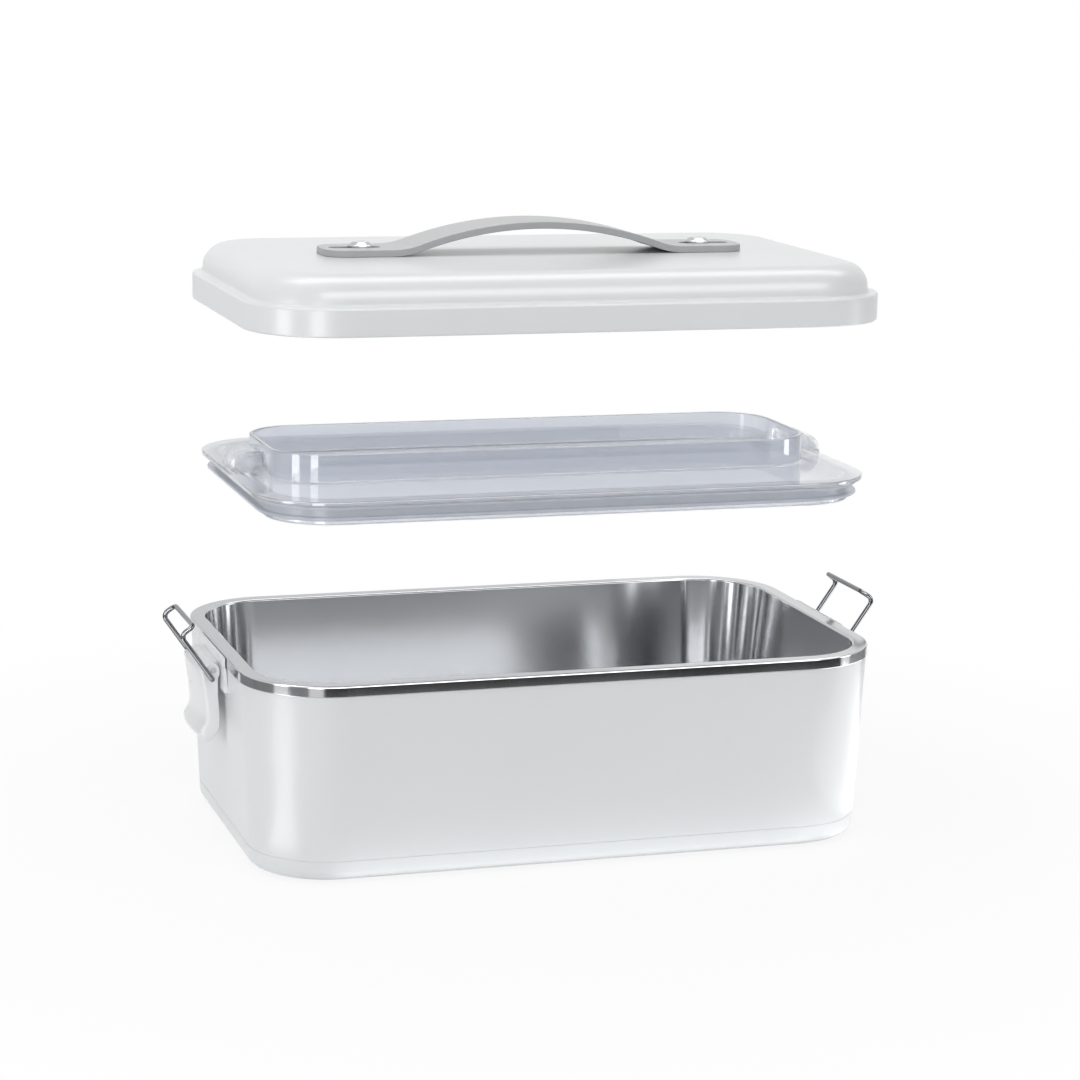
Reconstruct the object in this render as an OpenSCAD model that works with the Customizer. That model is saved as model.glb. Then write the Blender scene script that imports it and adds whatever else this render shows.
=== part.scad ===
// Electric lunch box: heated housing, lift-out steel container, clear inner lid
// with a cutlery tray, and a domed outer lid with a strap handle and two wire latches.
// X runs along the box, +Y to the back, +Z up. The origin is under the middle of the feet.
// The two lids are drawn lifted off, one above the other, with the wire bails swung clear.

/* [Body] */
// Length over the steel rim
rim_l = 236; // [210:1:270]
// Width over the steel rim
rim_w = 147; // [130:1:170]
// Corner radius of the steel rim, in plan
rim_r = 32; // [30:0.5:38]
// Height from the underside of the base to the top of the steel rim
body_h = 71; // [64:0.5:90]
// Height of the visible steel band
band_h = 4; // [3:0.25:6]
// How far the steel band stands proud of the plastic below it
band_proud = 0.4; // [0.2:0.1:1]
// How much further in each wall is at the base than under the band
base_inset = 3.2; // [2:0.2:7]
// Wall of the outer housing
housing_wall = 2.2; // [1.6:0.1:2.4]
// Height of the base cover's visible side
base_h = 7.4; // [6:0.2:9]
// Floor thickness of the base cover
base_floor = 2.4; // [2:0.1:3]
// Rounding under the bottom edge
base_edge_r = 4; // [2.6:0.2:5]
// Step of the seam between the housing and the base cover
seam_step = 0.35; // [0.2:0.05:0.6]
// Height that the rubber feet stand out below the base
foot_h = 1; // [0.8:0.2:3]
// Diameter of each rubber foot
foot_d = 11; // [8:0.5:14]

/* [Container] */
// Width of the flat steel rim around the opening
rim_flat_w = 5.7; // [5:0.1:6.4]
// Height from the underside of the base to the underside of the container
heater_space = 18.2; // [18:0.2:21]
// Sheet thickness of the container
sheet_t = 0.8; // [0.5:0.1:1]
// How much further in each container wall is at its floor
container_inset = 5; // [3.5:0.25:7]
// Outside radius where the container's wall meets its floor
container_edge_r = 8; // [5:0.5:10]

/* [Heater] */
// Side clearance between the container and the liner
liner_gap = 0.9; // [0.5:0.1:1.1]
// Wall of the liner
liner_t = 1.2; // [1:0.1:1.4]
// Length of the heating plate's raised face
plate_l = 150; // [120:1:152]
// Width of the heating plate's raised face
plate_w = 76; // [60:1:80]
// Corner radius of the heating plate
plate_r = 12; // [8:1:20]
// Thickness of the heating plate
plate_t = 3; // [2.6:0.1:3.4]
// How far the heating plate stands above the liner's floor
plate_proud = 0.6; // [0.3:0.1:1]
// Width of the plate's flange under the liner
plate_flange_w = 4; // [3:0.5:6]
// Length of the heating element
element_l = 64; // [50:1:70]
// Width of the heating element
element_w = 34; // [28:1:40]
// Thickness of the heating element
element_t = 2.5; // [2:0.1:3]
// Thickness of the clamp under the heating element
clamp_t = 1.2; // [1:0.1:1.5]
// Diameter of the thermostat
thermostat_d = 16; // [14:0.5:18]
// Height of the thermostat
thermostat_h = 7; // [6:0.5:8]
// Diameter of the thermal fuse
fuse_d = 4; // [3.5:0.1:4.6]
// Length of the thermal fuse's body
fuse_l = 12; // [9:0.5:14]
// Diameter of each lead
lead_d = 2; // [1.6:0.1:2.2]

/* [Power inlet] */
// Width of the inlet's face
inlet_w = 20; // [18:0.5:24]
// Height of the inlet's face
inlet_h = 10.4; // [9.6:0.2:11]
// Depth of the inlet inside the wall
inlet_depth = 15; // [13:0.5:18]
// Depth of the socket
socket_depth = 11; // [9:0.5:12]
// Diameter of each contact pin
contact_d = 2.36; // [2:0.02:2.6]
// Distance between the two contact pins
contact_pitch = 8.6; // [8:0.1:9.4]
// Diameter of the power light's lens
lens_d = 5; // [4:0.25:5.5]
// Distance from the inlet's centre to the power light
lens_offset = 24; // [20:0.5:40]

/* [Screws] */
// Diameter of the base screws' shank
screw_d = 2.6; // [2.4:0.1:3]
// Diameter of the base screws' head
screw_head_d = 5.6; // [5:0.1:6]
// Height of the base screws' head
screw_head_h = 1.1; // [0.9:0.1:1.2]
// Length of the base screws' shank
screw_l = 9; // [7:0.5:11]
// Radius of the screw bosses
boss_r = 3.4; // [3:0.1:4]

/* [Inner lid] */
// Height of the clear lid above its seat, as drawn
inner_lift = 61.6; // [30:0.2:70]
// How far the clear lid's flange lies inside the edge of the rim
inner_inset = 4.5; // [4.2:0.1:5]
// Thickness of the clear lid's plate
inner_t = 1.8; // [1.4:0.1:2]
// Height of the tray's wall above the clear plate
tray_h = 10.2; // [6:0.2:12]
// Distance from the rim's end to the tray's end wall
tray_end_inset = 16.7; // [16:0.1:22]
// Distance from the rim's side to the tray's side wall
tray_side_inset = 40.1; // [36:0.5:44]
// Corner radius of the tray, in plan
tray_r = 18.8; // [12:0.2:20]
// Thickness of the tray's wall
tray_t = 1.6; // [1.2:0.1:2]
// Depth of the plug below the flange
plug_h = 7.2; // [5:0.1:8]
// How far the plug's bottom bead lies inside the edge of the rim
plug_inset = 9.5; // [9:0.1:11]
// Wall of the plug
plug_t = 1.6; // [1.2:0.1:2]
// Height of the bead that keeps the gasket on the plug
bead_h = 1.5; // [1.2:0.1:2]
// How far the bead stands out from the plug
bead_out = 1.1; // [0.8:0.1:1.6]
// Width of each end lug
lug_w = 17; // [12:0.5:22]
// Height of each end lug above the clear plate
lug_h = 7.8; // [6:0.1:8]
// Distance from the rim's end to the outside of each end lug
lug_inset = 5; // [4.8:0.1:7]
// Rounding over the outside of each end lug
lug_r = 6.8; // [5.5:0.1:7]
// Wall of the end lugs
lug_t = 1.2; // [1:0.1:1.6]
// Thickness of the clear lid's gasket fins
fin_t = 1.1; // [0.8:0.1:1.3]

/* [Outer lid] */
// Height of the outer lid above the rim, as drawn
outer_lift = 119.8; // [90:0.2:140]
// How far the outer lid's edge lies inside the edge of the rim
lid_inset = 1.4; // [0.8:0.1:1.8]
// Height of the outer lid's flange
flange_h = 9.9; // [9:0.1:12]
// Width of the ledge around the dome
ledge_w = 3.7; // [3:0.1:3.9]
// Height of the dome above the ledge
dome_h = 10.6; // [9:0.1:14]
// Rounding over the dome's edge
dome_r = 8.9; // [6:0.1:9]
// Rounding on the flange's upper and lower edges
flange_edge_r = 0.8; // [0.4:0.1:1]
// Wall of the outer lid
lid_wall = 1.8; // [1.5:0.1:2]

/* [Handle] */
// Width of the strap
strap_w = 24; // [18:0.5:30]
// Thickness of the strap
strap_t = 2.5; // [2:0.1:3.5]
// Length of the strap's raised middle
strap_span = 110; // [90:1:120]
// Height of the gap under the middle of the strap
strap_rise = 9.4; // [8:0.2:20]
// Radius where the strap leaves the lid
strap_foot_r = 30; // [15:1:45]
// Length of the flat strap end beyond the raised middle
strap_end_l = 24.2; // [23:0.1:30]
// Corner radius of the strap's ends
strap_end_r = 8; // [3:0.5:9]
// Length of the slot in each strap end
slot_l = 19; // [16:0.5:20]
// Width of the slot in each strap end
slot_w = 6; // [5:0.25:8]
// Distance from the raised middle to the slot
slot_start = 2; // [2:0.25:4]
// Diameter of the rivets' heads
rivet_head_d = 9.4; // [8:0.2:11]
// Height of the rivets' heads
rivet_head_h = 2; // [1.4:0.1:2.6]
// Diameter of the rivets' shanks
rivet_d = 4; // [3.4:0.1:4.6]
// Diameter of the washers under the lid
washer_d = 11; // [9:0.5:13]
// Thickness of the washers
washer_t = 1; // [0.8:0.1:1.4]

/* [Latches] */
// Distance from the rim's end out to the lever's pin
pin_out = 3.5; // [3.4:0.1:4.5]
// Distance from the top of the rim down to the lever's pin
pin_drop = 6.1; // [5.8:0.1:7]
// Diameter of the lever's pin
pin_d = 2.2; // [1.8:0.1:2.4]
// Radius of the lever's barrel around the pin
barrel_r = 2.3; // [2.1:0.05:2.3]
// Width of the lever, between the bail's arms
barrel_w = 32.4; // [28:0.2:34]
// Length of the lever below its pin
lever_l = 27.2; // [24:0.4:29]
// Wall of the lever
lever_wall = 2; // [1.6:0.1:2.2]
// How far the middle of the lever's face stands out from its edges
lever_crown = 1.7; // [0.8:0.1:2.4]
// How much the lever's face draws in from its top to its waist
waist_in = 2; // [1:0.1:2.4]
// Height of the finger lip above the lever's lower end
lip_h = 4; // [3:0.2:6]
// How far the finger lip stands out from the lever's waist
lip_out = 2.3; // [1:0.1:3]
// Corner radius at the lever's lower end
lever_corner_r = 3; // [2:0.5:6]
// Diameter of the bail's wire
wire_d = 1.8; // [1.6:0.05:2]
// Length of the bail's hook, from the arms in to the bar
hook_l = 5.7; // [5.6:0.05:6]
// Bend radius of the bail's corners, at the wire's centre
wire_bend_r = 2.4; // [1.8:0.1:2.6]
// Length of the bail's feet inside the barrel
bail_foot_l = 3.2; // [2.4:0.1:4]
// Distance from the lever's pin down to the bail's feet
bail_drop = 3.3; // [3.3:0.05:3.6]
// Distance from the lever's pin out to the bail's feet
bail_out = 0.4; // [0.2:0.05:0.5]
// Outward tilt of the bails, as drawn
bail_tilt = 34.5; // [20:0.5:45]
// Width of each latch bracket
bracket_w = 43; // [41:0.5:50]
// Width of each of the lever's two knuckles
knuckle_w = 3.8; // [3.6:0.1:5]

/* [Clearances] */
// Gap between a seated lid and what it rests on
seat_gap = 0.1; // [0.05:0.05:0.3]
// Gap beside a moving piece
side_gap = 0.3; // [0.25:0.05:0.5]
// Radial clearance of a pin in a moving piece
run_gap = 0.05; // [0.02:0.01:0.08]
// Radial clearance of a pin in a fixed piece
fit_gap = 0.02; // [0.01:0.01:0.03]

/* [Hidden] */
$fn = 64;

// Every outline shares these corner centres, so only the radius changes from piece to piece.
corner_x = rim_l / 2 - rim_r;
corner_y = rim_w / 2 - rim_r;
over = 1;

// Heights
base_z = foot_h;
rim_z = base_z + body_h;
band_z = rim_z - band_h;
seam_z = base_z + base_h;
pot_under_z = base_z + heater_space;
plate_top_z = pot_under_z - seat_gap;
liner_floor_z = plate_top_z - plate_proud;
liner_under_z = liner_floor_z - liner_t;
plate_under_z = plate_top_z - plate_t;
base_floor_z = base_z + base_floor;
inner_z = rim_z + inner_lift;
lid_z = rim_z + outer_lift;
lid_top_z = lid_z + flange_h + dome_h;

// Radii about the corner centres
housing_r = rim_r - band_proud;
opening_r = rim_r - rim_flat_w;
lid_r = rim_r - lid_inset;

// Housing
wall_slope = base_inset / (band_z - base_z);

// Latches, measured from the middle of the box and up from the feet
pin_x = rim_l / 2 + pin_out;
pin_z = rim_z - pin_drop;
foot_x = pin_x + bail_out;
foot_z = pin_z - bail_drop;
arm_y = barrel_w / 2 + 4 * run_gap + wire_d / 2;
hook_in = 0.6;
hook_x = rim_l / 2 - lid_inset - hook_in;
hook_z = rim_z + 2 * seat_gap + flange_h + wire_d / 2;
hook_reach = norm([foot_x - hook_x, hook_z - foot_z]);
arm_l = sqrt(hook_reach * hook_reach - hook_l * hook_l);

housing_color = [0.93, 0.94, 0.95];
steel_color = [0.72, 0.73, 0.75];
clear_color = [0.78, 0.82, 0.88, 0.45];
strap_color = [0.73, 0.74, 0.76];
chrome_color = [0.85, 0.86, 0.88];

// Radius of the outer housing's face about the corner centres, at height z.
function wall_r(z) = housing_r - wall_slope * (band_z - z);

// A profile in (radius, height) carried round the rounded rectangle with these corner centres.
module around(cx, cy) {
    for (q = [0:3])
        translate([(q == 0 || q == 3) ? cx : -cx, q < 2 ? cy : -cy, 0])
            rotate([0, 0, 90 * q])
                rotate_extrude(angle = 90)
                    children();
    for (turn = [0, 180])
        rotate([0, 0, turn])
            translate([cx, 0, 0])
                rotate([90, 0, 0])
                    linear_extrude(height = 2 * cy, center = true)
                        children();
    for (turn = [90, 270])
        rotate([0, 0, turn])
            translate([cy, 0, 0])
                rotate([90, 0, 0])
                    linear_extrude(height = 2 * cx, center = true)
                        children();
}

// The same, filled between the corner centres from z0 to z1.
module filled(cx, cy, z0, z1) {
    around(cx, cy)
        children();
    translate([-cx, -cy, z0])
        cube([2 * cx, 2 * cy, z1 - z0]);
}

// Half section of a tub with leaning walls and a rounded lower edge.
module tub_area(r_low, r_high, z0, z1, edge_r) {
    lean = atan2(r_high - r_low, z1 - z0);
    rc = r_low - edge_r / tan((90 + lean) / 2);
    polygon([
        [0, z0], [rc, z0],
        [rc + edge_r * cos(lean), z0 + edge_r - edge_r * sin(lean)],
        [r_high, z1], [0, z1]
    ]);
    intersection() {
        translate([rc, z0 + edge_r])
            circle(r = edge_r);
        translate([rc - edge_r, z0])
            square([2 * edge_r, edge_r]);
    }
}

// Half section of such a tub's wall and floor, t thick.
module tub_section(r_low, r_high, z0, z1, edge_r, t) {
    lean = atan2(r_high - r_low, z1 - z0);
    difference() {
        tub_area(r_low, r_high, z0, z1, edge_r);
        tub_area(
            r_low + t * tan(lean) - t / cos(lean),
            r_high - t / cos(lean) + over * tan(lean),
            z0 + t, z1 + over, edge_r - t
        );
    }
}

// A rounded rectangle with half sizes a and b.
module rounded_area(a, b, r) {
    for (sx = [-1, 1], sy = [-1, 1])
        translate([sx * (a - r), sy * (b - r)])
            circle(r = r);
    square([2 * a, 2 * (b - r)], center = true);
    square([2 * (a - r), 2 * b], center = true);
}

// Cuts everything outside a quarter round of radius r, whose centre is here, towards sx and sy.
module round_off(r, sx, sy) {
    difference() {
        translate([sx > 0 ? 0 : -r - over, sy > 0 ? 0 : -r - over])
            square(r + over);
        circle(r = r);
    }
}

// Draws its child at the four places of a rectangle.
module at_corners(dx, dy) {
    for (sx = [-1, 1], sy = [-1, 1])
        translate([sx * dx, sy * dy, 0])
            children();
}

// Turns a drawing in (distance along X, height) into a plate of width w across Y.
module across(w, y = 0) {
    translate([0, y, 0])
        rotate([90, 0, 0])
            linear_extrude(height = w, center = true)
                children();
}

// ---------- Housing ----------

inlet_above_floor = 1.4;
inlet_set_in = 0.6;
inlet_z = base_floor_z + inlet_h / 2 + inlet_above_floor;
inlet_r = 2.4;
inlet_face_y = corner_y + wall_r(inlet_z) - inlet_set_in;
cover_lip_t = 1.4;
cover_lip_h = 2;
lens_flange = 1;
lens_z = seam_z + cover_lip_h + lens_d / 2 + side_gap;
lens_y = corner_y + wall_r(lens_z);
led_d = 3;
led_l = 5.5;
screw_in = 3;
screw_x = corner_x - screw_in;
screw_y = corner_y - screw_in;
pad_out = 6;
pad_x = corner_x + pad_out;
pad_y = corner_y + pad_out;
foot_recess = 0.8;

// The inlet's outline, as seen from the back.
module inlet_area(grow) {
    rounded_area(inlet_w / 2 + grow, inlet_h / 2 + grow, inlet_r + grow);
}

// The hole for the inlet, through whichever wall is there.
module inlet_hole() {
    translate([0, corner_y + rim_r, inlet_z])
        rotate([90, 0, 0])
            linear_extrude(height = rim_r)
                inlet_area(fit_gap);
}

module outer_housing() {
    color(housing_color)
        difference() {
            around(corner_x, corner_y)
                difference() {
                    polygon([
                        [wall_r(seam_z) - housing_wall, seam_z], [wall_r(seam_z), seam_z],
                        [housing_r, band_z], [housing_r - housing_wall, band_z]
                    ]);
                    // Shadow line of the seam
                    translate([wall_r(seam_z) - seam_step, seam_z - over])
                        square([2, over + seam_step]);
                }
            inlet_hole();
            translate([lens_offset, lens_y + over, lens_z])
                rotate([90, 0, 0])
                    cylinder(h = housing_wall + 2 * over, d = lens_d + 2 * fit_gap);
        }
}

module base_cover() {
    seam_r = wall_r(seam_z) - seam_step;
    low_r = wall_r(base_z);
    lip_r = wall_r(seam_z) - housing_wall - fit_gap;
    color(housing_color)
        difference() {
            filled(corner_x, corner_y, base_z, base_floor_z) {
                tub_section(low_r, seam_r + seam_step, base_z, seam_z, base_edge_r, base_floor);
                // Lip that centres the housing
                polygon([
                    [lip_r - cover_lip_t, base_floor_z], [lip_r, base_floor_z],
                    [lip_r, seam_z + cover_lip_h], [lip_r - cover_lip_t, seam_z + cover_lip_h]
                ]);
            }
            inlet_hole();
            at_corners(pad_x, pad_y)
                translate([0, 0, base_z - over])
                    cylinder(h = foot_recess + over, d = foot_d + 2 * fit_gap);
            at_corners(screw_x, screw_y)
                translate([0, 0, base_z - over]) {
                    cylinder(h = screw_head_h + over, d = screw_head_d + 2 * side_gap);
                    cylinder(h = base_floor + 2 * over, d = screw_d + 2 * side_gap);
                }
        }
}

module rubber_feet() {
    rim = 0.4;
    color([0.35, 0.35, 0.36])
        at_corners(pad_x, pad_y)
            rotate_extrude()
                difference() {
                    square([foot_d / 2, foot_h + foot_recess]);
                    translate([foot_d / 2 - rim, rim])
                        round_off(rim, 1, -1);
                }
}

module base_screws() {
    recess_w = 0.7;
    color(chrome_color)
        at_corners(screw_x, screw_y)
            translate([0, 0, base_z]) {
                difference() {
                    cylinder(h = screw_head_h, d = screw_head_d);
                    // Cross recess
                    for (turn = [0, 90])
                        rotate([0, 0, turn])
                            translate([-screw_head_d / 4, -recess_w / 2, -over])
                                cube([screw_head_d / 2, recess_w, over + screw_head_h / 2]);
                }
                cylinder(h = base_floor + screw_l, d = screw_d);
            }
}

module inner_liner() {
    pot_low_r = opening_r + sheet_t - container_inset;
    low_r = pot_low_r + liner_gap + liner_t;
    high_r = opening_r + sheet_t + liner_gap + liner_t;
    flange_t = 1.2;
    flange_in = 0.6;
    flange_r = housing_r - flange_in;
    hole_spare = 0.5;
    window_x = plate_l / 2 + fit_gap;
    window_y = plate_w / 2 + fit_gap;
    color([0.86, 0.87, 0.88])
        difference() {
            union() {
                filled(corner_x, corner_y, liner_under_z, liner_floor_z) {
                    tub_section(
                        low_r, high_r, liner_under_z, band_z, container_edge_r + liner_t, liner_t
                    );
                    // Flange on the housing's edge
                    translate([high_r - liner_t, band_z])
                        square([flange_r - high_r + liner_t, flange_t]);
                }
                at_corners(screw_x, screw_y)
                    translate([0, 0, base_floor_z])
                        cylinder(h = liner_under_z - base_floor_z + liner_t / 2, r = boss_r);
            }
            translate([0, 0, liner_under_z - over])
                linear_extrude(height = liner_t + 2 * over)
                    rounded_area(window_x, window_y, plate_r + fit_gap);
            at_corners(screw_x, screw_y)
                translate([0, 0, base_floor_z - over])
                    cylinder(h = over + screw_l + hole_spare, d = screw_d + 2 * fit_gap);
        }
}

module heating_plate() {
    flange_top_z = liner_under_z - fit_gap;
    color([0.78, 0.79, 0.8]) {
        translate([0, 0, plate_under_z])
            linear_extrude(height = plate_t)
                rounded_area(plate_l / 2, plate_w / 2, plate_r);
        translate([0, 0, plate_under_z])
            linear_extrude(height = flange_top_z - plate_under_z)
                rounded_area(
                    plate_l / 2 + plate_flange_w, plate_w / 2 + plate_flange_w, plate_r + plate_flange_w
                );
    }
}

module heating_element() {
    corner_r = 2;
    color([0.8, 0.72, 0.5])
        translate([0, 0, plate_under_z - element_t])
            linear_extrude(height = element_t)
                rounded_area(element_l / 2, element_w / 2, corner_r);
}

clamp_z = plate_under_z - element_t - clamp_t;
clamp_arm_w = 14;

module element_clamp() {
    reach = element_w / 2 + clamp_t + fit_gap;
    tab = 8;
    short = 6;
    window_d = 8;
    color(steel_color)
        difference() {
            union() {
                translate([-element_l / 2 + short, -element_w / 2, clamp_z])
                    cube([element_l - 2 * short, element_w, clamp_t]);
                for (s = [-1, 1]) {
                    translate([-clamp_arm_w / 2, s > 0 ? 0 : -reach, clamp_z])
                        cube([clamp_arm_w, reach, clamp_t]);
                    translate([-clamp_arm_w / 2, s > 0 ? reach - clamp_t : -reach, clamp_z])
                        cube([clamp_arm_w, clamp_t, element_t + clamp_t]);
                    translate([
                        -clamp_arm_w / 2, s > 0 ? reach - clamp_t : -reach - tab + clamp_t,
                        plate_under_z - clamp_t
                    ])
                        cube([clamp_arm_w, tab, clamp_t]);
                }
            }
            translate([0, 0, clamp_z - over])
                cylinder(h = clamp_t + 2 * over, d = window_d);
        }
}

module thermostat() {
    can_h = thermostat_h * 0.6;
    body_step = 3;
    body_h_low = thermostat_h - can_h;
    color([0.2, 0.2, 0.22])
        translate([sensor_x, 0, plate_under_z - thermostat_h]) {
            translate([0, 0, body_h_low])
                cylinder(h = can_h, d = thermostat_d);
            cylinder(h = body_h_low, d = thermostat_d - body_step);
        }
}

// The thermostat and the fuse sit midway between the element's ends and the plate's ends.
sensor_x = (element_l + plate_l) / 4;
fuse_strap_w = 4;

module thermal_fuse() {
    color([0.75, 0.7, 0.6])
        translate([-sensor_x, 0, plate_under_z - fuse_d / 2]) {
            rotate([90, 0, 0])
                cylinder(h = fuse_l, d = fuse_d, center = true);
            translate([-fuse_d, -fuse_strap_w / 2, 0])
                cube([2 * fuse_d, fuse_strap_w, fuse_d / 2]);
        }
}

// Two leads that run from the back of the inlet to the fuse and to the thermostat.
module internal_leads() {
    lead_z = base_floor_z + lead_d / 2 + side_gap;
    start_y = inlet_face_y - inlet_depth;
    bend = 4;
    straight = 3;
    turn_y = start_y - straight;
    lead_end = fuse_l / 2 + 5;
    for (s = [-1, 1]) {
        color(s > 0 ? [0.3, 0.35, 0.6] : [0.45, 0.3, 0.25])
            mirror([s > 0 ? 0 : 1, 0, 0]) {
                translate([contact_pitch / 2, start_y, lead_z])
                    rotate([90, 0, 0])
                        cylinder(h = straight, d = lead_d);
                translate([contact_pitch / 2 + bend, turn_y, lead_z])
                    rotate([0, 0, 180])
                        rotate_extrude(angle = 90)
                            translate([bend, 0])
                                circle(d = lead_d);
                translate([contact_pitch / 2 + bend, turn_y - bend, lead_z])
                    rotate([0, 90, 0])
                        cylinder(h = sensor_x - contact_pitch / 2 - 2 * bend, d = lead_d);
                translate([sensor_x - bend, turn_y - 2 * bend, lead_z])
                    rotate_extrude(angle = 90)
                        translate([bend, 0])
                            circle(d = lead_d);
                translate([sensor_x, turn_y - 2 * bend, lead_z])
                    rotate([90, 0, 0])
                        cylinder(h = turn_y - 2 * bend - lead_end, d = lead_d);
            }
    }
}

// ---------- Power inlet ----------

socket_lobe_r = 3.3;
socket_waist = 5;

// The socket's figure-of-eight outline.
module socket_area() {
    for (s = [-1, 1])
        translate([s * contact_pitch / 2, 0])
            circle(r = socket_lobe_r);
    square([contact_pitch, socket_waist], center = true);
}

module power_inlet() {
    color([0.16, 0.16, 0.17])
        translate([0, inlet_face_y, inlet_z])
            rotate([90, 0, 0])
                difference() {
                    linear_extrude(height = inlet_depth)
                        inlet_area(0);
                    translate([0, 0, -over])
                        linear_extrude(height = socket_depth + over)
                            socket_area();
                    for (s = [-1, 1])
                        translate([s * contact_pitch / 2, 0, 0])
                            cylinder(h = inlet_depth + over, d = contact_d + 2 * fit_gap);
                }
}

module inlet_contacts() {
    set_back = 2;
    color(chrome_color)
        for (s = [-1, 1])
            translate([s * contact_pitch / 2, inlet_face_y - set_back, inlet_z])
                rotate([90, 0, 0])
                    rotate_extrude()
                        difference() {
                            square([contact_d / 2, inlet_depth - set_back]);
                            translate([contact_d / 4, contact_d / 4])
                                round_off(contact_d / 4, 1, -1);
                        }
}

module power_light_lens() {
    dome = 0.5;
    color([0.9, 0.35, 0.3])
        translate([lens_offset, lens_y + dome, lens_z])
            rotate([90, 0, 0])
                cylinder(h = housing_wall + dome + lens_flange, d = lens_d);
}

module power_light() {
    color([0.95, 0.6, 0.5])
        translate([lens_offset, lens_y - housing_wall - lens_flange - fit_gap, lens_z])
            rotate([90, 0, 0])
                cylinder(h = led_l, d = led_d);
}

// ---------- Latches, drawn at the right end ----------

bracket_drop = 7.3;
bracket_z = pin_z - bracket_drop;
bracket_top = rim_z - 0.4;
plate_x = pin_x - barrel_r - side_gap - 2 * run_gap;
cap_x = rim_l / 2 + side_gap;
cap_t = 1;
bracket_corner_r = 1.5;
bracket_foot_r = 4.5;

// Distance from the middle of the box to the end wall's face, at height z.
function wall_x(z) = corner_x + wall_r(z);

module latch_bracket() {
    step_z = band_z - side_gap - 2 * run_gap;
    cap_slope = 0.5;
    root = 0.2;
    knuckle_y = barrel_w / 2 - knuckle_w - side_gap;
    difference() {
        union() {
            // Plate against the end wall, with a cap in front of the steel band
            across(bracket_w)
                polygon([
                    [wall_x(bracket_z), bracket_z], [plate_x, bracket_z],
                    [plate_x, pin_z + barrel_r], [cap_x + cap_t, pin_z + barrel_r + cap_slope],
                    [cap_x + cap_t, bracket_top], [cap_x, bracket_top],
                    [cap_x, step_z], [wall_x(step_z), step_z]
                ]);
            // Middle knuckle
            across(2 * knuckle_y)
                union() {
                    translate([pin_x, pin_z])
                        circle(r = barrel_r);
                    translate([plate_x - root, pin_z - barrel_r])
                        square([pin_x - plate_x + root, 2 * barrel_r]);
                }
        }
        for (s = [-1, 1]) {
            translate([
                wall_x(bracket_z) - over, s * (bracket_w / 2 - bracket_corner_r),
                bracket_top - bracket_corner_r
            ])
                rotate([90, 0, 90])
                    linear_extrude(height = rim_r)
                        round_off(bracket_corner_r, s, 1);
            translate([
                wall_x(bracket_z) - over, s * (bracket_w / 2 - bracket_foot_r),
                bracket_z + bracket_foot_r
            ])
                rotate([90, 0, 90])
                    linear_extrude(height = rim_r)
                        round_off(bracket_foot_r, s, -1);
        }
        translate([pin_x, 0, pin_z])
            rotate([90, 0, 0])
                cylinder(h = barrel_w, d = pin_d + 2 * fit_gap, center = true);
    }
}

module latch_bracket_right() {
    color(housing_color)
        latch_bracket();
}

module latch_bracket_left() {
    color(housing_color)
        mirror([1, 0, 0])
            latch_bracket();
}

module lever_pins() {
    color(chrome_color)
        for (s = [-1, 1])
            translate([s * pin_x, 0, pin_z])
                rotate([90, 0, 0])
                    cylinder(h = barrel_w - 4 * run_gap, d = pin_d, center = true);
}

// Section of the lever's face at its edges, measured from its pin: out from the box, and up.
face_top = 0.5;
face_out = 4.35;
waist_out = face_out - waist_in;
waist_up = 5.6;
lip_z = -lever_l + lip_h;
tail_out = 1.6;
tail_round = 1.1;

// The outer side of that section, from its top edge down round the finger lip.
face_line = [
    [face_out, face_top], [face_out - waist_in * 0.68, -lever_l / 2],
    [waist_out, lip_z + waist_up], [waist_out + lip_out * 0.2, lip_z + 0.6 * waist_up],
    [waist_out + lip_out * 0.65, lip_z + 0.34 * waist_up],
    [waist_out + lip_out * 0.95, lip_z + tail_round / 2], [waist_out + lip_out, lip_z - 0.2],
    [waist_out + lip_out * 0.87, lip_z - lip_h * 0.4],
    [waist_out + lip_out * 0.45, lip_z - lip_h * 0.75], [tail_out, -lever_l]
];

module lever_face_area() {
    polygon(concat(face_line, [
        [waist_out - lever_wall / 2, lip_z], [waist_out - lever_wall, lip_z + waist_up],
        [face_out - waist_in * 0.68 - lever_wall, -lever_l / 2], [face_out - lever_wall, face_top]
    ]));
}

// Section of the lever's side walls, which reach in behind its face.
side_in = 2.3;
module lever_side_area() {
    circle(r = barrel_r);
    polygon(concat([[0, barrel_r - run_gap]], face_line, [
        [tail_out - side_in, lip_z - 0.3 * lip_h], [-side_in * 0.87, lip_z + 0.4 * waist_up],
        [-side_in, lip_z + waist_up], [-side_in * 0.75, -lever_l / 3],
        [-barrel_r + run_gap, 0]
    ]));
}

// Turns a section of the lever's face about the upright axis that crowns the face.
crown_r = (pow(barrel_w / 2, 2) + pow(lever_crown, 2)) / (2 * lever_crown);
crown_x = waist_out + lever_crown - crown_r;
crown_turn = asin(barrel_w / 2 / crown_r) + 1;
module crowned() {
    translate([crown_x, 0, 0])
        rotate([0, 0, -crown_turn])
            rotate_extrude(angle = 2 * crown_turn, $fn = 180)
                translate([lever_crown - crown_x, 0])
                    children();
}

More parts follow.
